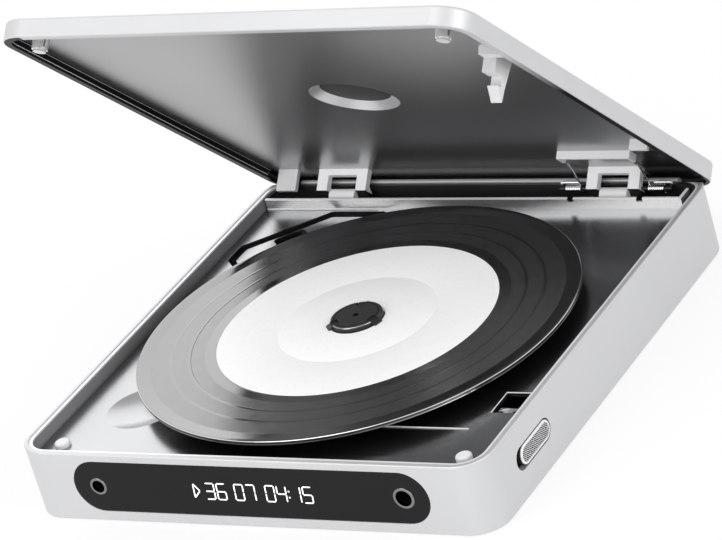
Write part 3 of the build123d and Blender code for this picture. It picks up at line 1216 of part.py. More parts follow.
# ---- lid, drawn shut ----
def clamp_recess():
    """Dished room over the hub, through the panel and into the skin of the lid."""
    depth = LID_PANEL + CLAMP_RECESS_SINK
    return Pos(0, SPINDLE_Y, CEILING + depth / 2) * Cone(CLAMP_RECESS_RADIUS, CLAMP_RECESS_FLOOR, depth)


def make_lid_shell():
    lid = case_slab(0, LID_BOTTOM, LID_TOP)
    lid = fillet(lid.faces().sort_by(Axis.Z)[-1].edges(), LID_EDGE_ROUND)
    lid = chamfer(lid.faces().sort_by(Axis.Z)[0].edges(), LID_EDGE_BREAK)
    lid -= case_slab(WALL, LID_BOTTOM - CUT, LID_BOTTOM + LID_LIP_HEIGHT)
    lid -= case_slab(WALL - LID_LIP_WIDTH, LID_BOTTOM + LID_LIP_HEIGHT, LID_TOP - LID_SKIN)
    lid -= clamp_recess()
    thin = case_slab(LID_REAR_WALL, LID_BOTTOM - CUT, CEILING)
    return opened(lid - (thin & band(HALF_D - CASE_CORNER - WALL, HALF_D)))


def make_lid_panel():
    panel = case_slab(WALL - LID_LIP_WIDTH + FIT, CEILING, CEILING + LID_PANEL)
    return opened(panel - clamp_recess())


def make_lid_brackets():
    """Bridge-shaped hinge brackets that hook back under the lid to the hinge pins."""
    toe = HINGE_Z + BRACKET_TOE
    low = HINGE_BOSS / 2
    cheek_outline = [(BRACKET_Y, CEILING), (BRACKET_Y, toe), (BRACKET_Y + BRACKET_TOE_DEPTH, toe - WELD),
                     (HINGE_Y - low, HINGE_Z - low), (HINGE_Y + low, HINGE_Z - low),
                     (HINGE_Y + low, HINGE_Z + low), (BRACKET_REAR, HINGE_Z + 2 * HINGE_BOSS),
                     (BRACKET_REAR, CEILING)]
    brackets = []
    for x in HINGE_XS:
        left = x - BRACKET_WIDTH / 2
        right = x + BRACKET_WIDTH / 2
        body = block(left, right, BRACKET_Y, BRACKET_REAR, CEILING - BRACKET_BRIDGE, CEILING)
        for x0, x1 in ((left, x - BRACKET_GAP / 2), (x + BRACKET_GAP / 2, right)):
            body += side_profile(cheek_outline, x0, x1) + rod_x(x0, x1, HINGE_Y, HINGE_Z, HINGE_BOSS)
        body -= rod_x(left - CUT, right + CUT, HINGE_Y, HINGE_Z, HINGE_PIN_RADIUS + RUN)
        brackets.append(opened(body))
    return brackets


def coil_length():
    return SPRING_TURNS * 2 * SPRING_WIRE


def make_spring_arbors():
    """Wires through the coils, bent back above them."""
    arbors = []
    over = SPRING_Z + RETURN_RISE
    for side, leg in zip((-1, 1), SPRING_LEGS):
        root = RIGHT_HINGE + side * BRACKET_WIDTH / 2
        end = leg + side * (coil_length() + ARBOR_END)
        arbor = rod_x(root, end, SPRING_Y, SPRING_Z, ARBOR_RADIUS)
        arbor += rod_x(leg + side * RETURN_START, end, SPRING_Y, over, RETURN_RADIUS)
        upright = end - side * RETURN_RADIUS
        arbor += Pos(0, SPRING_Y, 0) * post(upright, 0, SPRING_Z, over, RETURN_RADIUS)
        arbors.append(opened(arbor))
    return arbors


def make_torsion_springs():
    springs = []
    pitch = 2 * SPRING_WIRE * 0.97
    rise = math.radians(SPRING_LEG_RISE)
    for side, leg in zip((-1, 1), SPRING_LEGS):
        start = leg - pitch * (SPRING_TURNS - 1) if side < 0 else leg
        body = coil(start, SPRING_Y, SPRING_Z, 0, SPRING_COIL, SPRING_WIRE, SPRING_TURNS, pitch)
        wire = Pos(leg, SPRING_Y - SPRING_COIL * math.sin(rise), SPRING_Z + SPRING_COIL * math.cos(rise))
        wire *= Rot(90 - SPRING_LEG_RISE, 0, 0) * Pos(0, 0, SPRING_LEG_LENGTH / 2)
        body += wire * Cylinder(SPRING_WIRE, SPRING_LEG_LENGTH)
        tail = leg + side * pitch * (SPRING_TURNS - 1)
        drop = Pos(tail, SPRING_Y + SPRING_COIL, SPRING_Z - SPRING_TAIL / 2)
        body += drop * Cylinder(SPRING_WIRE, SPRING_TAIL)
        springs.append(opened(body))
    return springs


def make_lid_blocks():
    """Open box over the right hinge, stop plate at the right wall and tab at the left corner."""
    x = RIGHT_HINGE + SPRING_BOX_SHIFT
    front = BRACKET_Y - SPRING_BOX_FRONT
    half = SPRING_BOX_WIDTH / 2
    wall = SPRING_BOX_WALL
    box = block(x - half, x + half, front, front + SPRING_BOX_DEPTH, CEILING - SPRING_BOX_HEIGHT, CEILING)
    box -= block(x - half + wall, x + half - wall, front + wall, BRACKET_Y, LID_BOTTOM - CUT, CEILING + CUT)
    right = INNER_X - STOP_FROM_SIDE
    stop_y = BRACKET_Y - STOP_AHEAD
    stop = block(right - STOP_WIDTH, right, stop_y, stop_y + STOP_THICKNESS, CEILING - STOP_HEIGHT, CEILING)
    left = -INNER_X + TAB_FROM_SIDE
    tab = block(left, left + TAB_WIDTH, BRACKET_Y, BRACKET_Y + TAB_THICKNESS, HINGE_Z + TAB_TOE, CEILING)
    return [opened(box), opened(stop), opened(tab)]


def make_lid_pegs():
    pegs = []
    end = DECK_TOP + BUMPER_RISE + PEG_GAP
    step = end + PEG_TIP
    for x, y in BUMPERS:
        peg = Pos(x, y, (step + CEILING) / 2) * Cone(PEG_END_RADIUS, PEG_ROOT_RADIUS, CEILING - step)
        peg += post(x, y, end, step + WELD, PEG_TIP_RADIUS)
        groove = block(PEG_END_RADIUS - PEG_GROOVE_DEPTH, PEG_ROOT_RADIUS + CUT, -PEG_GROOVE / 2,
                       PEG_GROOVE / 2, step + PEG_TIP, CEILING - WELD)
        pegs.append(opened(peg - Pos(x, y, 0) * Rot(0, 0, PEG_GROOVE_TURN) * groove))
    return pegs


def make_latch_hook():
    """Stepped latch arm with a forward nose that catches under the bar."""
    x0 = LATCH_X + HOOK_SHIFT - HOOK_WIDTH / 2
    x1 = x0 + HOOK_WIDTH
    neck = CATCH_REAR + HOOK_GAP
    rear = neck + HOOK_NECK
    shoulder = CATCH_BOTTOM - HOOK_GAP
    tip = shoulder - HOOK_NOSE_DROP
    nose = neck - HOOK_NOSE
    step = neck - HOOK_STEP_FORWARD
    step_z = CEILING - HOOK_STEP_DROP
    outline = [(step, CEILING), (step, step_z), (neck, step_z), (neck, shoulder), (nose, shoulder),
               (nose + HOOK_NOSE_RAKE, tip), (rear - HOOK_GAP * 3, tip), (rear, shoulder),
               (rear + HOOK_TAPER, CEILING)]
    arm = side_profile(outline, x0, x1)
    arm += block(x0 - HOOK_STEP_EXTRA, x1, step, neck, step_z, CEILING)
    right = INNER_X - FIT
    foot = neck - HOOK_FOOT_FORWARD
    foot_low = CEILING - HOOK_FOOT_DROP
    arm += block(right - HOOK_FOOT_WIDTH, right, foot, foot + HOOK_FOOT_DEPTH, foot_low, CEILING)
    arm += block(x0, x1, foot + CUT, step + WELD, CEILING - CUT, CEILING)
    return opened(arm)


NODES = {
    "base_shell": make_base_shell,
    "bottom_cover": make_bottom_cover,
    "wall_pads": make_wall_pads,
    "cover_screws": make_cover_screws,
    "deck_plate": make_deck_plate,
    "deck_bumpers": make_deck_bumpers,
    "hinge_trough": make_hinge_trough,
    "hinge_knuckles": make_hinge_knuckles,
    "hinge_pins": make_hinge_pins,
    "front_window": make_front_window,
    "jack_bezels": make_jack_bezels,
    "jack_small": lambda: make_jack(WINDOW_SHIFT - JACK_X, SMALL_JACK_BORE),
    "jack_large": lambda: make_jack(WINDOW_SHIFT + JACK_X, LARGE_JACK_BORE),
    "display_module": make_display_module,
    "display_board": make_display_board,
    "main_board": make_main_board,
    "board_chips": make_board_chips,
    "battery": make_battery,
    "usb_port": make_usb_port,
    "button_board": make_button_board,
    "tact_switches": make_tact_switches,
    "button_previous": lambda: make_button(BUTTON_YS[0], BUTTON_LENGTH, (0,), BUTTON_SLACK),
    "button_play": lambda: make_button(BUTTON_YS[1], BUTTON_LENGTH, (0,), BUTTON_SLACK),
    "button_next": lambda: make_button(BUTTON_YS[2], BUTTON_LENGTH, (0,), BUTTON_SLACK),
    "button_power": lambda: make_button(BUTTON_YS[3], BUTTON_LENGTH, (0,), BUTTON_SLACK),
    "volume_rocker": make_rocker,
    "drive_cover": make_drive_cover,
    "drive_chassis": make_drive_chassis,
    "rubber_dampers": make_rubber_dampers,
    "damper_screws": make_damper_screws,
    "spindle_motor": make_spindle_motor,
    "guide_rods": make_guide_rods,
    "rod_clips": make_rod_clips,
    "sled_motor": make_sled_motor,
    "gear_post": make_gear_post,
    "spindle_hub": make_spindle_hub,
    "hub_jaws": make_hub_jaws,
    "disc": make_disc,
    "pickup_sled": make_pickup_sled,
    "pickup_lens": make_pickup_lens,
    "sled_rack": make_sled_rack,
    "compound_gear": make_compound_gear,
    "motor_pinion": make_motor_pinion,
    "release_knob": make_release_knob,
    "release_slider": make_release_slider,
    "latch_catch": make_latch_catch,
    "release_spring": make_release_spring,
    "lid_shell": make_lid_shell,
    "lid_panel": make_lid_panel,
    "lid_brackets": make_lid_brackets,
    "spring_arbors": make_spring_arbors,
    "torsion_springs": make_torsion_springs,
    "lid_blocks": make_lid_blocks,
    "lid_pegs": make_lid_pegs,
    "latch_hook": make_latch_hook,
}

os.makedirs("parts", exist_ok=True)
for name, make in NODES.items():
    shape = make()
    if isinstance(shape, list):
        shape = Compound(children=shape)
    export_step(shape, f"parts/{name}.step")
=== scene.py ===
import json
import math

import bmesh
import bpy
from mathutils import Matrix, Vector


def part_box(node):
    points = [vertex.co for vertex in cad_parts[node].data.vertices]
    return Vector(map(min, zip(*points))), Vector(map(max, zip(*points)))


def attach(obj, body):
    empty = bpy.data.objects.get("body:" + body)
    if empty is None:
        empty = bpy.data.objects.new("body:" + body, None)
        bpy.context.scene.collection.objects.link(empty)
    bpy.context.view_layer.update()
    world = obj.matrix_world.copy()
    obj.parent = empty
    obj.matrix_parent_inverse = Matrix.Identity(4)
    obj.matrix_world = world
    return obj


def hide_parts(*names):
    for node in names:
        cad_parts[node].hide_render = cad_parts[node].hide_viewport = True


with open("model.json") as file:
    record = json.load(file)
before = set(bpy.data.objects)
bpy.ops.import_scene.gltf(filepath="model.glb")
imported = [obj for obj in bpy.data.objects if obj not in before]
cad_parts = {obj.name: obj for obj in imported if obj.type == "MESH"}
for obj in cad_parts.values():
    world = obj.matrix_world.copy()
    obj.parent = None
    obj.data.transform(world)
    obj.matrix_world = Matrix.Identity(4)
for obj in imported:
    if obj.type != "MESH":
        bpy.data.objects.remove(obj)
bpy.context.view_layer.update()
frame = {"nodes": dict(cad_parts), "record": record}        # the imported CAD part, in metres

MM = 0.001

# ---- camera, fitted to the photograph ----
VIEW_ROWS = ((0.852858, 0.453417, -0.258933), (-0.005158, 0.503197, 0.864156),
             (0.522117, -0.735667, 0.431494))
VIEW_POINT = (0.563855, -0.797446, 0.500514)
IMAGE_WIDTH = 722
IMAGE_HEIGHT = 540
FOCAL_PIXELS = 4164.48
CENTRE_PIXEL = (348.45, 268.52)
SENSOR_WIDTH = 36.0
FAR_LIMIT = 50

# ---- stage, metres and watts ----
FLOOR_SIZE = 8
FLOOR_CELLS = 8
FLOOR_DROP = 0.0002
FLOOR_GLOW = 0.8             # share of plain white where the floor is seen or mirrored
SKY_LEVEL = 0.75
SKY_SEEN_MORE = 0.25         # added where the sky is seen or mirrored, which makes it plain white
LAMPS = (
    # name, place, size, power
    ("softbox", (-1.25, 1.75, 1.05), 1.7, 9.5),
    ("key", (-0.5, -1.15, 0.62), 0.8, 5.1),
    ("fill", (1.1, -0.2, 0.55), 0.9, 5.6),
    ("top", (-0.3, -0.5, 1.3), 0.9, 3.5),
    ("low", (0.1, -1.25, 0.14), 0.5, 3.3),
)

# ---- places taken from the frame ----
DISC_LOW, DISC_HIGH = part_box("disc")
SPINDLE = (DISC_LOW + DISC_HIGH) / 2
DISC_RADIUS = (DISC_HIGH.x - DISC_LOW.x) / 2 / MM
WINDOW_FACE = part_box("front_window")[0].y
KNOB_LOW, KNOB_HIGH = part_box("release_knob")
PAD_FACE = KNOB_HIGH.x / MM
HUB_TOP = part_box("spindle_hub")[1].z / MM
CASE_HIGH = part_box("base_shell")[1]

# ---- case, millimetres ----
CASE_CORNER = 8.6
WALL = 2.2
WALL_SKIN = 0.08             # the inner wall's painted shade starts this much before its face
BROKEN_EDGE = 1.55           # depth at which the rim's broken inner edge, painted as a highlight, starts
EDGE_OVER = 0.1
EDGE_LOW = 19.2
COVER_INSIDE = 1.2

# ---- deck, millimetres ----
DECK_TOP = 15.95
DECK_FACE = 0.33             # thickness of the deck face above its cut edges, painted black as shade
LEDGE_START = 0.02
FOOT_LINE = (0.03, 0.42)     # heights of the painted highlight line at the ledge's foot, over the deck
FOOT_END = -30.0
LEDGE_TOP = 19.25
LEDGE_EDGE = 0.3
STEP_LINE = (0.32, 0.01)     # depths of the painted highlight on the step at the label, under the deck
STEP_PLACE = (-50.0, -45.0)
LATCH_SLOT = (56.1, 64.6, -41.3, -31.8)      # left, right, front, rear
SLOT_LINE = 0.2
SLOT_SKIN = 0.05
SLOT_DEPTH = 0.2
# the drive cover's standing faces under its face are painted black as shade
COVER_TOP = 15.29
COVER_FACE = 0.04

# ---- lid, millimetres as if shut ----
OPEN_ANGLE = math.radians(44.7)
HINGE = (0, 0.06715, 0.01417)       # metres
LID_SKIN = 0.22
LIP_DEPTH = 1.6
LID_LIP = 21.0
LIP_LINE = (-0.14, 0.02)            # heights of the painted highlight line, over the lip
PALE_TOP = 20.3
PALE_LEFT = -60.0
PALE_FADE = (-46, -16)              # the pale lower lip, a painted reflection, fades away between these, front to rear
LID_LINE = 22.6
LID_LINE_WIDTH = 0.15
REAR = 60.0
REAR_DEPTH = 0.9
REAR_BAND = (0.3, 1.0)              # heights of the grey band at the rear, over the lip
LID_CEILING = 23.0
CEILING_WALL = 1.2                  # the black inner wall reaches this far over the ceiling
RECESS_DEPTH = 20.0                 # nothing but the round recess is this far inside the outline
RECESS_STEP = 24.1
RECESS_FLOOR = 24.9
RECESS_SKIN = (0.04, 0.1)
CONE_START = 0.06
CONE_SKIN = 0.05
# the panel's rear corner past these is painted black as a dark reflection
PANEL_CORNER = (49.0, 47.0)
# the brackets under BRACKET_TOE and the knuckles under CROWN_LOW are painted black as shade
BRACKET_TOE = 16.75
CROWN_LOW = 16.3
RETURN_WIRE_LOW = 18.7

# ---- hub, millimetres under its top, and the upward share of its faces' normals ----
HUB_ROUND = 0.45
HUB_SUNK = 0.12
ROUND_NORMALS = (0.45, 0.93)
FLAT_NORMAL = 0.95

# ---- disc, millimetres ----
DISC_HOLE = 7.5
DISC_THICKNESS = 1.2
HOLE_EDGE = 0.12
CLAMP_GROOVE = 21.5
CLAMP_HALF = 0.25
CLAMP_DEPTH = 0.07
LABEL_RADIUS = 38.1
LABEL_EDGE = (0.08, 0.05)           # run and drop of the label's edge
LABEL_GAP = 0.4
PLAYED_DROP = 0.08                  # the played area lies this much lower than the rim
INNER_BAND = 41.2
OUTER_BAND = 56.0
GROOVE_PITCH = 0.36
GROOVE_DEPTH = 0.012
LAST_GROOVE = OUTER_BAND - 0.3
SEPARATORS = (45.4, 50.4)
SEPARATOR_FOOT = 0.4
SEPARATOR_CROWN = 0.2
SEPARATOR_RISE = 0.02
SEPARATOR_NEAR = GROOVE_PITCH * 1.2
SEPARATOR_AFTER = GROOVE_PITCH * 1.3
BAND_STEP = (0.12, 0.03)
RIM_BEAD = 58.6
RIM_EDGE = 0.12
DISC_STEPS = 256
SMOOTH_ANGLE = math.radians(28)
GROOVED, LABEL, PLAIN, RIM = range(4)        # the disc's materials

# ---- display, millimetres ----
DIGIT_WIDTH = 2.55
DIGIT_HEIGHT = 4.7
DIGIT_PITCH = 3.4
DIGIT_STROKE = 0.36
DIGIT_GAP = DIGIT_STROKE * 0.18
DIGIT_SLANT = 0.1
DIGIT_LOW = 7.9
DIGIT_PROUD = 0.03
COLON_SHARES = (0.3, 0.68)
COLON_HALF = DIGIT_STROKE * 0.6
COLON_PITCH = DIGIT_STROKE * 2.2
POINTER_BACK = -16.2
POINTER_TIP = -14.4
POINTER_INSET = 0.3
GROUPS = ((-12.6, "36"), (-3.9, "07"), (5.3, "04:15"))
SEGMENTS = {"0": "abcdef", "1": "bc", "2": "abged", "3": "abgcd", "4": "fgbc", "5": "afgcd", "6": "afgecd",
            "7": "abc", "8": "abcdefg", "9": "abcdfg"}

# ---- finger pad, millimetres ----
KNURL_PITCH = 0.34
KNURL_HEIGHT = 0.34
KNURL_REACH = KNURL_PITCH * 0.98
KNURL_MARGIN = 0.7                  # share of a point that stays inside the rim
PAD_RIM = 0.3
PAD_FLOOR = 0.41
# the pad's sides behind PAD_SIDE and the knurl's valleys behind VALLEY are painted dark as shade
PAD_SIDE = 0.45
VALLEY = 0.24

# ---- colours that several areas share ----
# painted shade on cut edges and undersides, and the black film inside the bottom cover
SHADE_AND_FILM_BLACK = (0.006, 0.006, 0.007)
# the black liner of the lid's inner walls, and a painted dark reflection on the panel's rear corner
LINER_AND_REFLECTION_BLACK = (0.008, 0.008, 0.009)
# painted highlight lines on edges and steps
PAINTED_HIGHLIGHT_WHITE = (0.93, 0.93, 0.935)
CONE_METAL = (0.70, 0.703, 0.71)

# ---- general finish ----
DRIFT_SCALE = 22.0                  # slow colour drift, features per metre
ROUGH_DRIFT = 0.08                  # share by which roughness wanders
UPRIGHT_NORMAL = 0.6                # faces whose normals rise less than this count as upright


class Graph:
    """Nodes of one material or world, with short calls for the ones that this scene needs."""

    def __init__(self, tree):
        self.nodes = tree.nodes
        self.links = tree.links

    def math(self, operation, first, second=None):
        node = self.nodes.new("ShaderNodeMath")
        node.operation = operation
        for socket, value in zip(node.inputs, (first, second)):
            if isinstance(value, (int, float)):
                socket.default_value = value
            elif value is not None:
                self.links.new(value, socket)
        return node.outputs[0]

    def above(self, value, limit):
        return self.math("GREATER_THAN", value, limit)

    def below(self, value, limit):
        return self.math("LESS_THAN", value, limit)

    def both(self, *masks):
        """1 where all the masks are 1."""
        result = masks[-1]
        for mask in reversed(masks[:-1]):
            result = self.math("MULTIPLY", mask, result)
        return result

    def between(self, value, low, high):
        return self.both(self.above(value, low), self.below(value, high))

    def share(self, value, start, end, low, high):
        """low at start, high at end, and a straight line between them."""
        node = self.nodes.new("ShaderNodeMapRange")
        node.inputs["From Min"].default_value = start
        node.inputs["From Max"].default_value = end
        node.inputs["To Min"].default_value = low
        node.inputs["To Max"].default_value = high
        self.links.new(value, node.inputs["Value"])
        return node.outputs["Result"]

    def span(self, factor, low, high):
        """A noise factor spread over a range of values."""
        return self.share(factor, 0.3, 0.7, low, high)

    def ramp(self, factor, low, high, start=0.35, end=0.65):
        """A noise factor spread over two colours."""
        node = self.nodes.new("ShaderNodeValToRGB")
        for element, position, color in zip(node.color_ramp.elements, (start, end), (low, high)):
            element.position = position
            element.color = (*color, 1)
        self.links.new(factor, node.inputs["Fac"])
        return node.outputs["Color"]

    def noise(self, scale, detail=3.0, stretch=(1, 1, 1)):
        """Noise in the part's own coordinates; scale is in features per metre."""
        place = self.nodes.new("ShaderNodeTexCoord")
        mapping = self.nodes.new("ShaderNodeMapping")
        mapping.inputs["Scale"].default_value = stretch
        texture = self.nodes.new("ShaderNodeTexNoise")
        texture.inputs["Scale"].default_value = scale
        texture.inputs["Detail"].default_value = detail
        self.links.new(place.outputs["Object"], mapping.inputs["Vector"])
        self.links.new(mapping.outputs["Vector"], texture.inputs["Vector"])
        return texture.outputs["Fac"]

    def separate(self, vector):
        parts = self.nodes.new("ShaderNodeSeparateXYZ")
        self.links.new(vector, parts.inputs["Vector"])
        return parts.outputs["X"], parts.outputs["Y"], parts.outputs["Z"]

    def own_place(self, shut_lid=False):
        """Place on the part in millimetres, for lid pieces as if the lid were shut."""
        place = self.nodes.new("ShaderNodeTexCoord").outputs["Object"]
        if shut_lid:
            turn = self.nodes.new("ShaderNodeVectorRotate")
            turn.inputs["Center"].default_value = HINGE
            turn.inputs["Axis"].default_value = (-1, 0, 0)
            turn.inputs["Angle"].default_value = -OPEN_ANGLE
            self.links.new(place, turn.inputs["Vector"])
            place = turn.outputs["Vector"]
        scale = self.nodes.new("ShaderNodeVectorMath")
        scale.operation = "SCALE"
        scale.inputs["Scale"].default_value = 1 / MM
        self.links.new(place, scale.inputs[0])
        return self.separate(scale.outputs["Vector"])

    def upward(self):
        """Upward share of the surface's normal."""
        return self.separate(self.nodes.new("ShaderNodeNewGeometry").outputs["Normal"])[2]

    def upright(self):
        """1 on faces that stand up, 0 on flat ones."""
        return self.below(self.math("ABSOLUTE", self.upward()), UPRIGHT_NORMAL)

    def inset(self, x, y):
        """Distance inwards from the rounded outline of the case, in millimetres."""
        over_x = self.math("SUBTRACT", self.math("ABSOLUTE", x), CASE_HIGH.x / MM - CASE_CORNER)
        over_y = self.math("SUBTRACT", self.math("ABSOLUTE", y), CASE_HIGH.y / MM - CASE_CORNER)
        out_x = self.math("MAXIMUM", over_x, 0.0)
        out_y = self.math("MAXIMUM", over_y, 0.0)
        square = self.math("ADD", self.math("MULTIPLY", out_x, out_x), self.math("MULTIPLY", out_y, out_y))
        corner = self.math("SQRT", square)
        within = self.math("MINIMUM", self.math("MAXIMUM", over_x, over_y), 0.0)
        return self.math("SUBTRACT", CASE_CORNER, self.math("ADD", corner, within))

    def blend(self, mask, under, over):
        """under where the mask is 0, over where it is 1; both are colours or both are numbers."""
        mix = self.nodes.new("ShaderNodeMix")
        if isinstance(over, tuple):
            mix.data_type = "RGBA"
            over = (*over, 1)
        self.links.new(mask, mix.inputs["Factor"])
        if isinstance(under, (int, float)):
            mix.inputs["A"].default_value = under
        else:
            self.links.new(under, mix.inputs["A"])
        mix.inputs["B"].default_value = over
        return mix.outputs["Result"]

    def seen_or_mirrored(self):
        """1 for rays from the camera, from a mirroring surface and through a clear one."""
        path = self.nodes.new("ShaderNodeLightPath").outputs
        mirrored = self.math("MAXIMUM", path["Is Glossy Ray"], path["Is Transmission Ray"])
        return self.math("MAXIMUM", path["Is Camera Ray"], mirrored)


def new_material(name):
    """Material, its graph and its main shader."""
    material = bpy.data.materials.new(name)
    material.use_nodes = True
    graph = Graph(material.node_tree)
    return material, graph, graph.nodes["Principled BSDF"]


def add_bump(graph, shader, height, distance):
    bump = graph.nodes.new("ShaderNodeBump")
    bump.inputs["Distance"].default_value = distance
    bump.inputs["Strength"].default_value = 1.0
    graph.links.new(height, bump.inputs["Height"])
    graph.links.new(bump.outputs["Normal"], shader.inputs["Normal"])


def surface(name, color, metallic, rough, grain, grain_depth, spread=0.04, stretch=(1, 1, 1), zones=None,
            ior=1.45):
    """Finish with slow colour drift, uneven roughness and a fine surface grain.

    grain is in features per metre and grain_depth in metres. zones returns (mask, colour, metallic,
    roughness) for each area of another finish."""
    material, graph, shader = new_material(name)
    slow = graph.noise(DRIFT_SCALE, 2.0)
    fine = graph.noise(grain, 4.0, stretch)
    low = tuple(c * (1 - spread) for c in color)
    high = tuple(min(1.0, c * (1 + spread)) for c in color)
    base = graph.ramp(slow, low, high)
    roughness = graph.span(fine, rough * (1 - ROUGH_DRIFT), rough * (1 + ROUGH_DRIFT))
    metal = metallic
    for mask, tint, tint_metal, tint_rough in (zones(graph) if zones else ()):
        base = graph.blend(mask, base, tint)
        roughness = graph.blend(mask, roughness, tint_rough)
        metal = graph.blend(mask, metal, tint_metal)
    graph.links.new(base, shader.inputs["Base Color"])
    graph.links.new(roughness, shader.inputs["Roughness"])
    if zones:
        graph.links.new(metal, shader.inputs["Metallic"])
    else:
        shader.inputs["Metallic"].default_value = metallic
    shader.inputs["IOR"].default_value = ior
    add_bump(graph, shader, fine, grain_depth)
    return material


# ---- areas of another finish: (mask, colour, metallic, roughness), each laid over those before it ----
def base_zones(graph):
    """Painted shade on the inner walls, under a painted highlight on the broken edge."""
    x, y, z = graph.own_place()
    depth = graph.inset(x, y)
    inner = graph.above(depth, WALL - WALL_SKIN)
    edge_highlight = graph.both(graph.between(depth, BROKEN_EDGE, WALL + EDGE_OVER), graph.above(z, EDGE_LOW))
    return [(inner, (0.23, 0.231, 0.235), 0.0, 0.55), (edge_highlight, (0.80, 0.803, 0.81), 0.2, 0.35)]


def lid_zones(graph):
    """Black inner walls; a pale lower lip at the front, a painted reflection that fades towards the rear;
    painted highlight lines, bright and faint, over it; and the recess.
    """
    x, y, z = graph.own_place(shut_lid=True)
    depth = graph.inset(x, y)
    pale_reflection = graph.both(graph.below(z, PALE_TOP), graph.above(x, PALE_LEFT), graph.share(y, *PALE_FADE, 1, 0))
    wall = graph.both(graph.above(depth, LID_SKIN), graph.below(z, LID_CEILING + CEILING_WALL))
    wall = graph.both(wall, graph.math("SUBTRACT", 1.0, pale_reflection))
    deep = graph.above(depth, LIP_DEPTH)
    lip_highlight = graph.both(deep, graph.below(y, REAR),
                     graph.between(z, LID_LIP + LIP_LINE[0], LID_LIP + LIP_LINE[1]))
    faint_highlight = graph.both(deep, graph.between(z, LID_LINE, LID_LINE + LID_LINE_WIDTH))
    band = graph.both(graph.above(y, REAR), graph.above(depth, REAR_DEPTH),
                      graph.between(z, LID_LIP + REAR_BAND[0], LID_LIP + REAR_BAND[1]))
    middle = graph.above(depth, RECESS_DEPTH)
    cone = graph.both(middle, graph.between(z, RECESS_STEP - CONE_SKIN, RECESS_FLOOR))
    floor = graph.both(middle, graph.between(z, RECESS_FLOOR - RECESS_SKIN[0],
                                             RECESS_FLOOR + RECESS_SKIN[1]))
    return [(wall, LINER_AND_REFLECTION_BLACK, 0.0, 0.35), (lip_highlight, PAINTED_HIGHLIGHT_WHITE, 0.2, 0.35),
            (faint_highlight, (0.50, 0.50, 0.505), 0.2, 0.4), (band, (0.06, 0.06, 0.062), 0.3, 0.3),
            (cone, CONE_METAL, 0.8, 0.3), (floor, (0.05, 0.05, 0.052), 0.3, 0.4)]


def panel_zones(graph):
    """Paler coned wall round the recess in the middle of the panel, and a black rear corner painted as a
    dark reflection.
    """
    x, y, z = graph.own_place(shut_lid=True)
    cone = graph.both(graph.above(graph.inset(x, y), RECESS_DEPTH), graph.above(z, LID_CEILING + CONE_START))
    corner = graph.both(graph.above(x, PANEL_CORNER[0]), graph.above(y, PANEL_CORNER[1]))
    return [(cone, CONE_METAL, 0.8, 0.3), (corner, LINER_AND_REFLECTION_BLACK, 0.0, 0.3)]


def hub_zones(graph):
    """Painted shade on the hub's black sides and sunk lines, and a painted highlight on its rounded edge."""
    z = graph.own_place()[2]
    upward = graph.upward()
    low = graph.below(z, HUB_TOP - HUB_SUNK)
    side = graph.both(low, graph.below(upward, ROUND_NORMALS[0]))
    sunk_shade = graph.both(low, graph.above(upward, FLAT_NORMAL))
    edge_highlight = graph.both(graph.above(z, HUB_TOP - HUB_ROUND), graph.between(upward, *ROUND_NORMALS))
    return [(side, (0.008, 0.008, 0.008), 0.0, 0.4), (sunk_shade, (0.004, 0.004, 0.004), 0.0, 0.6),
            (edge_highlight, (0.30, 0.30, 0.302), 1.0, 0.14)]


def deck_zones(graph):
    """Black cut edges under the deck face as painted shade, a ledge painted paler as lit with painted
    highlights on its edges, and painted highlights on the step and slot rim.
    """
    x, y, z = graph.own_place()
    stands = graph.upright()
    cut_shade = graph.both(graph.below(z, DECK_TOP - DECK_FACE), stands)
    paler_lit_ledge = graph.both(graph.above(z, DECK_TOP + LEDGE_START), stands)
    foot_highlight = graph.both(graph.between(z, DECK_TOP + FOOT_LINE[0], DECK_TOP + FOOT_LINE[1]), stands,
                      graph.below(x, FOOT_END))
    edge_highlight = graph.above(z, LEDGE_TOP - LEDGE_EDGE)
    step = graph.both(graph.between(z, DECK_TOP - STEP_LINE[0], DECK_TOP - STEP_LINE[1]), stands,
                      graph.between(y, *STEP_PLACE))
    left, right, front, rear = LATCH_SLOT
    west = graph.both(graph.between(x, left - SLOT_LINE, left + SLOT_SKIN),
                      graph.between(y, front, rear + SLOT_LINE))
    north = graph.both(graph.between(x, left - SLOT_LINE, right),
                       graph.between(y, rear - SLOT_SKIN, rear + SLOT_LINE))
    slot = graph.both(graph.math("MAXIMUM", west, north), graph.above(z, DECK_TOP - SLOT_DEPTH))
    return [(cut_shade, SHADE_AND_FILM_BLACK, 0.0, 0.5), (paler_lit_ledge, (0.62, 0.623, 0.63), 0.75, 0.26),
            (foot_highlight, PAINTED_HIGHLIGHT_WHITE, 0.0, 0.3), (edge_highlight, (0.90, 0.90, 0.91), 0.0, 0.3),
            (step, PAINTED_HIGHLIGHT_WHITE, 0.0, 0.3), (slot, PAINTED_HIGHLIGHT_WHITE, 0.0, 0.3)]


def painted_shade_below(height, standing=False, shut_lid=False):
    """Painted shade: black under a height, only on standing faces if asked."""
    def zones(graph):
        mask = graph.below(graph.own_place(shut_lid)[2], height)
        if standing:
            mask = graph.both(mask, graph.upright())
        return [(mask, SHADE_AND_FILM_BLACK, 0.0, 0.5)]
    return zones


def arbor_zones(graph):
    """Bright wire above the coils, dark core through them."""
    wire = graph.above(graph.own_place(shut_lid=True)[2], RETURN_WIRE_LOW)
    return [(wire, (0.85, 0.85, 0.86), 0.6, 0.25)]


def knurl_zones(graph):
    """Painted shade: dark valleys between the points."""
    return [(graph.below(graph.own_place()[0], PAD_FACE - VALLEY), (0.02, 0.02, 0.02), 0.3, 0.5)]


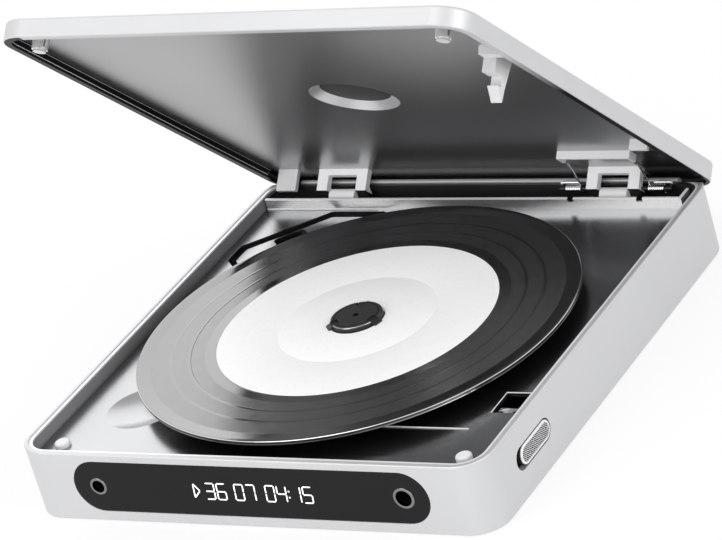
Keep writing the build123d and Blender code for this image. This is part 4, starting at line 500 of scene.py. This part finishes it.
def knob_zones(graph):
    """Painted shade: dark sides behind the bright face of the finger pad."""
    return [(graph.below(graph.own_place()[0], PAD_FACE - PAD_SIDE), (0.01, 0.01, 0.01), 0.0, 0.5)]


def cover_zones(graph):
    """Black inside of the bottom cover."""
    return [(graph.above(graph.own_place()[2], COVER_INSIDE), SHADE_AND_FILM_BLACK, 0.0, 0.6)]


# ---- finishes: colour, metallic, roughness, grain, depth of the grain, spread of the colour ----
def metal_deck(name, zones):
    return surface(name, (0.34, 0.343, 0.348), 1.0, 0.24, 6000, 0.000006, 0.03, zones=zones)


def case_finish(name, zones, ior=1.45):
    return surface(name, (0.55, 0.553, 0.56), 0.4, 0.42, 9000, 0.000015, 0.02, zones=zones, ior=ior)


def light_plastic(name, zones):
    return surface(name, (0.92, 0.923, 0.928), 0.0, 0.28, 5000, 0.00001, 0.02, zones=zones)


def lens_glass(name):
    material, graph, shader = new_material(name)
    smear = graph.noise(900.0)
    graph.links.new(graph.ramp(smear, (0.10, 0.16, 0.30), (0.14, 0.22, 0.38)), shader.inputs["Base Color"])
    graph.links.new(graph.span(smear, 0.02, 0.06), shader.inputs["Roughness"])
    shader.inputs["IOR"].default_value = 1.52
    shader.inputs["Coat Weight"].default_value = 1.0
    return material


SLOT_FINISHES = {
    "window_black": lambda n: surface(n, (0.004, 0.004, 0.0045), 0.0, 0.05, 800, 0.0000005, 0.1, ior=1.30),
    "display_face": lambda n: surface(n, (0.01, 0.01, 0.01), 0.0, 0.20, 800, 0.000002, 0.1),
    "board": lambda n: surface(n, (0.004, 0.012, 0.008), 0.0, 0.35, 3000, 0.00002, 0.2),
    "chip": lambda n: surface(n, (0.012, 0.012, 0.012), 0.0, 0.5, 6000, 0.00002, 0.2),
    "battery_wrap": lambda n: surface(n, (0.05, 0.05, 0.055), 0.4, 0.4, 900, 0.00006, 0.08),
    "steel": lambda n: surface(n, (0.30, 0.30, 0.31), 1.0, 0.32, 4000, 0.00001, 0.05, stretch=(1, 12, 1)),
    "bright_steel": lambda n: surface(n, (0.72, 0.72, 0.73), 1.0, 0.16, 4000, 0.000004),
    "socket_plastic": lambda n: surface(n, (0.006, 0.006, 0.006), 0.0, 0.4, 4000, 0.00002, 0.2),
    "rubber_grey": lambda n: surface(n, (0.03, 0.03, 0.032), 0.0, 0.7, 5000, 0.00003, 0.15),
    "bumper_rubber": lambda n: surface(n, (0.78, 0.785, 0.79), 0.0, 0.45, 5000, 0.00001),
    "button_metal": lambda n: surface(n, (0.55, 0.553, 0.56), 0.4, 0.40, 9000, 0.00001),
    "gear_plastic": lambda n: surface(n, (0.75, 0.73, 0.66), 0.0, 0.42, 4000, 0.00001),
    "sled_plastic": lambda n: surface(n, (0.010, 0.010, 0.011), 0.0, 0.42, 4000, 0.00002, 0.15),
    "hub_plastic": lambda n: surface(n, (0.020, 0.020, 0.021), 0.0, 0.33, 3000, 0.00001, 0.15),
    "lens_glass": lens_glass,
}
# Nodes with a finish of their own; every node of a slot that isn't in the table above is here.
NODE_FINISHES = {
    "base_shell": lambda n: case_finish(n, base_zones),
    "bottom_cover": lambda n: case_finish(n, cover_zones),
    "lid_shell": lambda n: case_finish(n, lid_zones, ior=1.15),
    "deck_plate": lambda n: metal_deck(n, deck_zones),
    # the drive cover's cut edges are painted black as shade
    "drive_cover": lambda n: metal_deck(n, painted_shade_below(COVER_TOP - COVER_FACE, standing=True)),
    "lid_panel": lambda n: surface(n, (0.37, 0.373, 0.378), 1.0, 0.30, 6000, 0.000006, 0.03,
                                   zones=panel_zones, ior=1.15),
    # the brackets and the knuckles are painted black low down as shade
    "lid_brackets": lambda n: light_plastic(n, painted_shade_below(BRACKET_TOE, shut_lid=True)),
    "hinge_knuckles": lambda n: light_plastic(n, painted_shade_below(CROWN_LOW)),
    "lid_pegs": lambda n: surface(n, (0.64, 0.643, 0.648), 0.4, 0.26, 5000, 0.00001),
    "latch_hook": lambda n: surface(n, (0.60, 0.603, 0.608), 0.0, 0.34, 5000, 0.00001),
    "lid_blocks": lambda n: surface(n, (0.70, 0.703, 0.708), 0.0, 0.34, 5000, 0.00001),
    "hinge_trough": lambda n: surface(n, (0.020, 0.020, 0.021), 0.0, 0.35, 5000, 0.00002, 0.15),
    "spring_arbors": lambda n: surface(n, (0.03, 0.03, 0.031), 0.5, 0.4, 4000, 0.000004,
                                       zones=arbor_zones),
    "jack_bezels": lambda n: surface(n, (0.24, 0.24, 0.244), 1.0, 0.17, 4000, 0.000004),
    "release_knob": lambda n: surface(n, (0.80, 0.803, 0.81), 0.5, 0.26, 9000, 0.00001,
                                      zones=knob_zones),
    "spindle_hub": lambda n: surface(n, (0.034, 0.034, 0.035), 0.0, 0.33, 3000, 0.00001, 0.15,
                                     zones=hub_zones),
}


def dress_cad_nodes():
    """Give every CAD node its own finish, or else the finish of its material slot."""
    materials = {}
    for part in frame["record"]["subparts"]:
        node = part["node"]
        if node == "disc":
            continue
        key = node if node in NODE_FINISHES else part["material_slot"]
        if key not in materials:
            make = NODE_FINISHES.get(key) or SLOT_FINISHES[key]
            materials[key] = make(key)
        data = frame["nodes"][node].data
        data.materials.clear()
        data.materials.append(materials[key])


# ---- built pieces ----
def finish_mesh(name, shape):
    """Mesh from a bmesh, with its normals outwards."""
    mesh = bpy.data.meshes.new(name)
    bmesh.ops.recalc_face_normals(shape, faces=shape.faces)
    shape.to_mesh(mesh)
    shape.free()
    return mesh


def add_piece(name, mesh, materials, body, smooth=True):
    piece = bpy.data.objects.new(name, mesh)
    bpy.context.scene.collection.objects.link(piece)
    for material in materials:
        mesh.materials.append(material)
    for face in mesh.polygons:
        face.use_smooth = smooth
    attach(piece, body)
    return piece


def record_finish(name, low, high, rough_low, rough_high, ior):
    """Glossy black with a little dust; the grooves are in the mesh."""
    material, graph, shader = new_material(name)
    dust = graph.noise(300.0, 4.0)
    graph.links.new(graph.ramp(dust, low, high), shader.inputs["Base Color"])
    graph.links.new(graph.span(dust, rough_low, rough_high), shader.inputs["Roughness"])
    shader.inputs["IOR"].default_value = ior
    return material


def label_white():
    """White paper with a weak glow: painted light which keeps it evenly white."""
    material, graph, shader = new_material("label_white")
    fibre = graph.noise(1500.0, 4.0)
    graph.links.new(graph.ramp(fibre, (0.69, 0.69, 0.69), (0.72, 0.72, 0.72)), shader.inputs["Base Color"])
    graph.links.new(graph.span(fibre, 0.48, 0.58), shader.inputs["Roughness"])
    glow = graph.ramp(fibre, (0.92, 0.92, 0.92), (0.95, 0.95, 0.95))
    graph.links.new(glow, shader.inputs["Emission Color"])
    shader.inputs["Emission Strength"].default_value = 0.26
    shader.inputs["Specular IOR Level"].default_value = 0.2
    add_bump(graph, shader, fibre, 0.000004)
    return material


def disc_materials():
    """In the order of GROOVED, LABEL, PLAIN and RIM."""
    return (record_finish("record_black", (0.014, 0.014, 0.015), (0.020, 0.020, 0.021), 0.20, 0.26, 2.3),
            label_white(),
            record_finish("record_smooth", (0.002, 0.002, 0.002), (0.004, 0.004, 0.004), 0.11, 0.14, 2.35),
            surface("disc_rim", (0.72, 0.722, 0.726), 0.9, 0.2, 4000, 0.000002))


def played_rings(level):
    """Grooves from the inner to the outer band, with a plain crowned line at each gap between tracks."""
    rings = []
    radius = INNER_BAND
    while radius < LAST_GROOVE:
        near = [middle for middle in SEPARATORS if abs(middle - radius) < SEPARATOR_NEAR]
        if near:
            middle = near[0]
            rings += [(middle - SEPARATOR_FOOT, level, PLAIN),
                      (middle - SEPARATOR_CROWN, level + SEPARATOR_RISE, PLAIN),
                      (middle + SEPARATOR_CROWN, level + SEPARATOR_RISE, PLAIN),
                      (middle + SEPARATOR_FOOT, level, GROOVED)]
            radius = middle + SEPARATOR_AFTER
        else:
            rings += [(radius, level, GROOVED),
                      (radius + GROOVE_PITCH / 2, level - GROOVE_DEPTH, GROOVED)]
            radius += GROOVE_PITCH
    return rings


def disc_profile():
    """(radius, height over the underside, material) rings from the hole outwards and back underneath."""
    top = DISC_THICKNESS
    level = top - PLAYED_DROP
    hole = [(DISC_HOLE, 0.15, LABEL), (DISC_HOLE, top - 0.1, LABEL), (DISC_HOLE + HOLE_EDGE, top, LABEL)]
    label = [(CLAMP_GROOVE - CLAMP_HALF, top, LABEL), (CLAMP_GROOVE, top - CLAMP_DEPTH, LABEL),
             (CLAMP_GROOVE + CLAMP_HALF, top, LABEL), (LABEL_RADIUS - LABEL_EDGE[0], top, LABEL),
             (LABEL_RADIUS, top - LABEL_EDGE[1], GROOVED), (LABEL_RADIUS + LABEL_GAP, level, PLAIN)]
    rim = [(OUTER_BAND, level, PLAIN), (OUTER_BAND + BAND_STEP[0], level + BAND_STEP[1], PLAIN),
           (RIM_BEAD, top - 0.03, PLAIN), (RIM_BEAD + RIM_EDGE, top, PLAIN), (DISC_RADIUS - 0.14, top, RIM),
           (DISC_RADIUS, top - RIM_EDGE, GROOVED), (DISC_RADIUS, 0.42, RIM), (DISC_RADIUS, 0.22, GROOVED),
           (DISC_RADIUS - RIM_EDGE, 0.05, GROOVED), (DISC_RADIUS - 0.3, 0.0, GROOVED)]
    under = [(CLAMP_GROOVE, 0.0, GROOVED), (DISC_HOLE + 0.15, 0.0, LABEL)]
    return hole + label + played_rings(level) + rim + under


def lathe(rings, steps, low):
    """Turned body round the spindle; each ring closes onto the next and the last onto the first."""
    shape = bmesh.new()
    loops = []
    for radius, height, paint in rings:
        loop = []
        for step in range(steps):
            turn = 2 * math.pi * step / steps
            loop.append(shape.verts.new((SPINDLE.x + radius * MM * math.cos(turn),
                                         SPINDLE.y + radius * MM * math.sin(turn), low + height * MM)))
        loops.append(loop)
    for ring, inner, outer in zip(rings, loops, loops[1:] + loops[:1]):
        for step in range(steps):
            after = (step + 1) % steps
            face = shape.faces.new((inner[step], outer[step], outer[after], inner[after]))
            face.material_index = ring[2]
    return finish_mesh("turned", shape)


def build_disc():
    low = DISC_HIGH.z - DISC_THICKNESS * MM
    mesh = lathe(disc_profile(), DISC_STEPS, low)
    disc = add_piece("record_disc", mesh, disc_materials(), "spindle")
    mesh.set_sharp_from_angle(angle=SMOOTH_ANGLE)
    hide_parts("disc")


def prism(shape, outline, front, back):
    """Solid from a closed outline of (x, z) points in millimetres, between two depths in metres."""
    near = [shape.verts.new((x * MM, front, z * MM)) for x, z in outline]
    far = [shape.verts.new((x * MM, back, z * MM)) for x, z in outline]
    shape.faces.new(near)
    shape.faces.new(reversed(far))
    for i in range(len(outline)):
        j = (i + 1) % len(outline)
        shape.faces.new((near[j], near[i], far[i], far[j]))


def bar_outline(start, end):
    """Bar of one stroke's width with pointed ends between two (x, z) points."""
    (x0, z0), (x1, z1) = start, end
    length = math.hypot(x1 - x0, z1 - z0)
    along = ((x1 - x0) / length, (z1 - z0) / length)
    half = DIGIT_STROKE / 2
    across = (-along[1] * half, along[0] * half)

    def spot(distance, side):
        return (x0 + along[0] * distance + across[0] * side, z0 + along[1] * distance + across[1] * side)

    return [spot(0, 0), spot(half, 1), spot(length - half, 1), spot(length, 0), spot(length - half, -1),
            spot(half, -1)]


def glyph_outlines(glyph, left):
    """Outlines of the lit segments of one number, or of a colon's two dots."""
    if glyph == ":":
        corners = ((-1, -1), (-1, 1), (1, 1), (1, -1))
        return [[(left + COLON_HALF * x, DIGIT_HEIGHT * share + COLON_HALF * z) for x, z in corners]
                for share in COLON_SHARES]
    right = left + DIGIT_WIDTH
    top = DIGIT_HEIGHT
    middle = top / 2
    gap = DIGIT_GAP
    ends = {"a": ((left + gap, top), (right - gap, top)), "b": ((right, top - gap), (right, middle + gap)),
            "c": ((right, middle - gap), (right, gap)), "d": ((left + gap, 0), (right - gap, 0)),
            "e": ((left, middle - gap), (left, gap)), "f": ((left, top - gap), (left, middle + gap)),
            "g": ((left + gap, middle), (right - gap, middle))}
    return [bar_outline(*ends[segment]) for segment in SEGMENTS[glyph]]


def pointer_outlines():
    """Three bars of a small pointer before the numbers."""
    low = (POINTER_BACK, POINTER_INSET)
    high = (POINTER_BACK, DIGIT_HEIGHT - POINTER_INSET)
    tip = (POINTER_TIP, DIGIT_HEIGHT / 2)
    return [bar_outline(low, tip), bar_outline(high, tip), bar_outline(low, high)]


def digit_white():
    material, graph, shader = new_material("digit_white")
    glow = graph.noise(2500.0)
    white = graph.ramp(glow, (0.80, 0.80, 0.80), (0.92, 0.92, 0.92))
    graph.links.new(white, shader.inputs["Base Color"])
    graph.links.new(white, shader.inputs["Emission Color"])
    graph.links.new(graph.span(glow, 0.4, 0.5), shader.inputs["Roughness"])
    shader.inputs["Emission Strength"].default_value = 0.7
    return material


def build_digits():
    """Plain seven-segment numbers after a small pointer, on the face of the window."""
    outlines = []
    for left, text in GROUPS:
        for glyph in text:
            outlines += glyph_outlines(glyph, left)
            left += COLON_PITCH if glyph == ":" else DIGIT_PITCH
    outlines += pointer_outlines()
    shape = bmesh.new()
    for outline in outlines:
        slanted = [(x + DIGIT_SLANT * z, z + DIGIT_LOW) for x, z in outline]
        prism(shape, slanted, WINDOW_FACE - DIGIT_PROUD * MM, WINDOW_FACE + DIGIT_PROUD * MM)
    mesh = finish_mesh("digits", shape)
    add_piece("display_digits", mesh, (digit_white(),), "base", smooth=False)


def build_knurl():
    """Small four-sided points over the dished floor of the finger pad."""
    shape = bmesh.new()
    middle = (KNOB_LOW + KNOB_HIGH) / 2
    half_length = (KNOB_HIGH.y - KNOB_LOW.y) / 2 / MM - PAD_RIM
    half_height = (KNOB_HIGH.z - KNOB_LOW.z) / 2 / MM - PAD_RIM
    straight = half_length - half_height
    floor = PAD_FACE - PAD_FLOOR
    rows = 2 * (int(half_height / KNURL_PITCH) + 1)
    columns = 2 * (int(half_length / KNURL_PITCH) + 1)
    for column in range(-columns, columns + 1):
        for row in range(-rows, rows + 1):
            if (column + row) % 2:
                continue
            y = column * KNURL_PITCH
            z = row * KNURL_PITCH
            if math.hypot(max(abs(y) - straight, 0), z) > half_height - KNURL_REACH * KNURL_MARGIN:
                continue
            corners = [(y + KNURL_REACH, z), (y, z + KNURL_REACH), (y - KNURL_REACH, z),
                       (y, z - KNURL_REACH)]
            ring = [shape.verts.new((floor * MM, middle.y + a * MM, middle.z + b * MM)) for a, b in corners]
            tip = shape.verts.new(((floor + KNURL_HEIGHT) * MM, middle.y + y * MM, middle.z + z * MM))
            for k in range(4):
                shape.faces.new((ring[k], ring[(k + 1) % 4], tip))
            shape.faces.new(list(reversed(ring)))
    mesh = finish_mesh("knurl", shape)
    material = surface("knurl_metal", (0.62, 0.623, 0.63), 0.8, 0.3, 9000, 0.000004, 0.06, zones=knurl_zones)
    add_piece("pad_knurl", mesh, (material,), "release", smooth=False)


# ---- stage ----
def make_floor():
    """Pale floor that is plain white where it is seen or mirrored, and still takes the shadow."""
    bpy.ops.mesh.primitive_grid_add(x_subdivisions=FLOOR_CELLS, y_subdivisions=FLOOR_CELLS,
                                    size=FLOOR_SIZE)
    floor = bpy.context.object
    floor.name = "floor"
    floor.location.z = -FLOOR_DROP
    material, graph, shader = new_material("floor_white")
    paper = graph.noise(3.0, 2.0)
    graph.links.new(graph.ramp(paper, (0.86, 0.86, 0.86), (0.88, 0.88, 0.88)), shader.inputs["Base Color"])
    shader.inputs["Roughness"].default_value = 0.9
    glow = graph.nodes.new("ShaderNodeEmission")
    glow.inputs["Strength"].default_value = 1.0
    mix = graph.nodes.new("ShaderNodeMixShader")
    graph.links.new(graph.math("MULTIPLY", graph.seen_or_mirrored(), FLOOR_GLOW), mix.inputs["Fac"])
    graph.links.new(shader.outputs["BSDF"], mix.inputs[1])
    graph.links.new(glow.outputs["Emission"], mix.inputs[2])
    graph.links.new(mix.outputs["Shader"], graph.nodes["Material Output"].inputs["Surface"])
    floor.data.materials.append(material)


def make_world():
    world = bpy.data.worlds.new("studio")
    bpy.context.scene.world = world
    world.use_nodes = True
    graph = Graph(world.node_tree)
    background = graph.nodes["Background"]
    background.inputs["Color"].default_value = (1, 1, 1, 1)
    more = graph.math("MULTIPLY", graph.seen_or_mirrored(), SKY_SEEN_MORE)
    graph.links.new(graph.math("ADD", more, SKY_LEVEL), background.inputs["Strength"])


def make_lamp(name, place, size, power):
    """Round lamp that shines at the part's foot."""
    data = bpy.data.lights.new(name, "AREA")
    data.shape = "DISK"
    data.size = size
    data.energy = power
    lamp = bpy.data.objects.new(name, data)
    bpy.context.scene.collection.objects.link(lamp)
    lamp.location = place
    lamp.rotation_euler = (-Vector(place)).to_track_quat("-Z", "Y").to_euler()
    lamp.visible_camera = False


def make_camera():
    data = bpy.data.cameras.new("camera")
    camera = bpy.data.objects.new("camera", data)
    bpy.context.scene.collection.objects.link(camera)
    turn = Matrix(VIEW_ROWS).transposed()
    camera.matrix_world = Matrix.Translation(VIEW_POINT) @ turn.to_4x4()
    data.sensor_width = SENSOR_WIDTH
    data.lens = FOCAL_PIXELS / IMAGE_WIDTH * SENSOR_WIDTH
    data.shift_x = (IMAGE_WIDTH / 2 - CENTRE_PIXEL[0]) / IMAGE_WIDTH
    data.shift_y = (CENTRE_PIXEL[1] - IMAGE_HEIGHT / 2) / IMAGE_WIDTH
    data.clip_end = FAR_LIMIT
    bpy.context.scene.camera = camera


dress_cad_nodes()
build_disc()
build_digits()
build_knurl()
make_floor()
make_world()
for lamp_row in LAMPS:
    make_lamp(*lamp_row)
make_camera()
bpy.context.scene.view_settings.view_transform = "Standard"
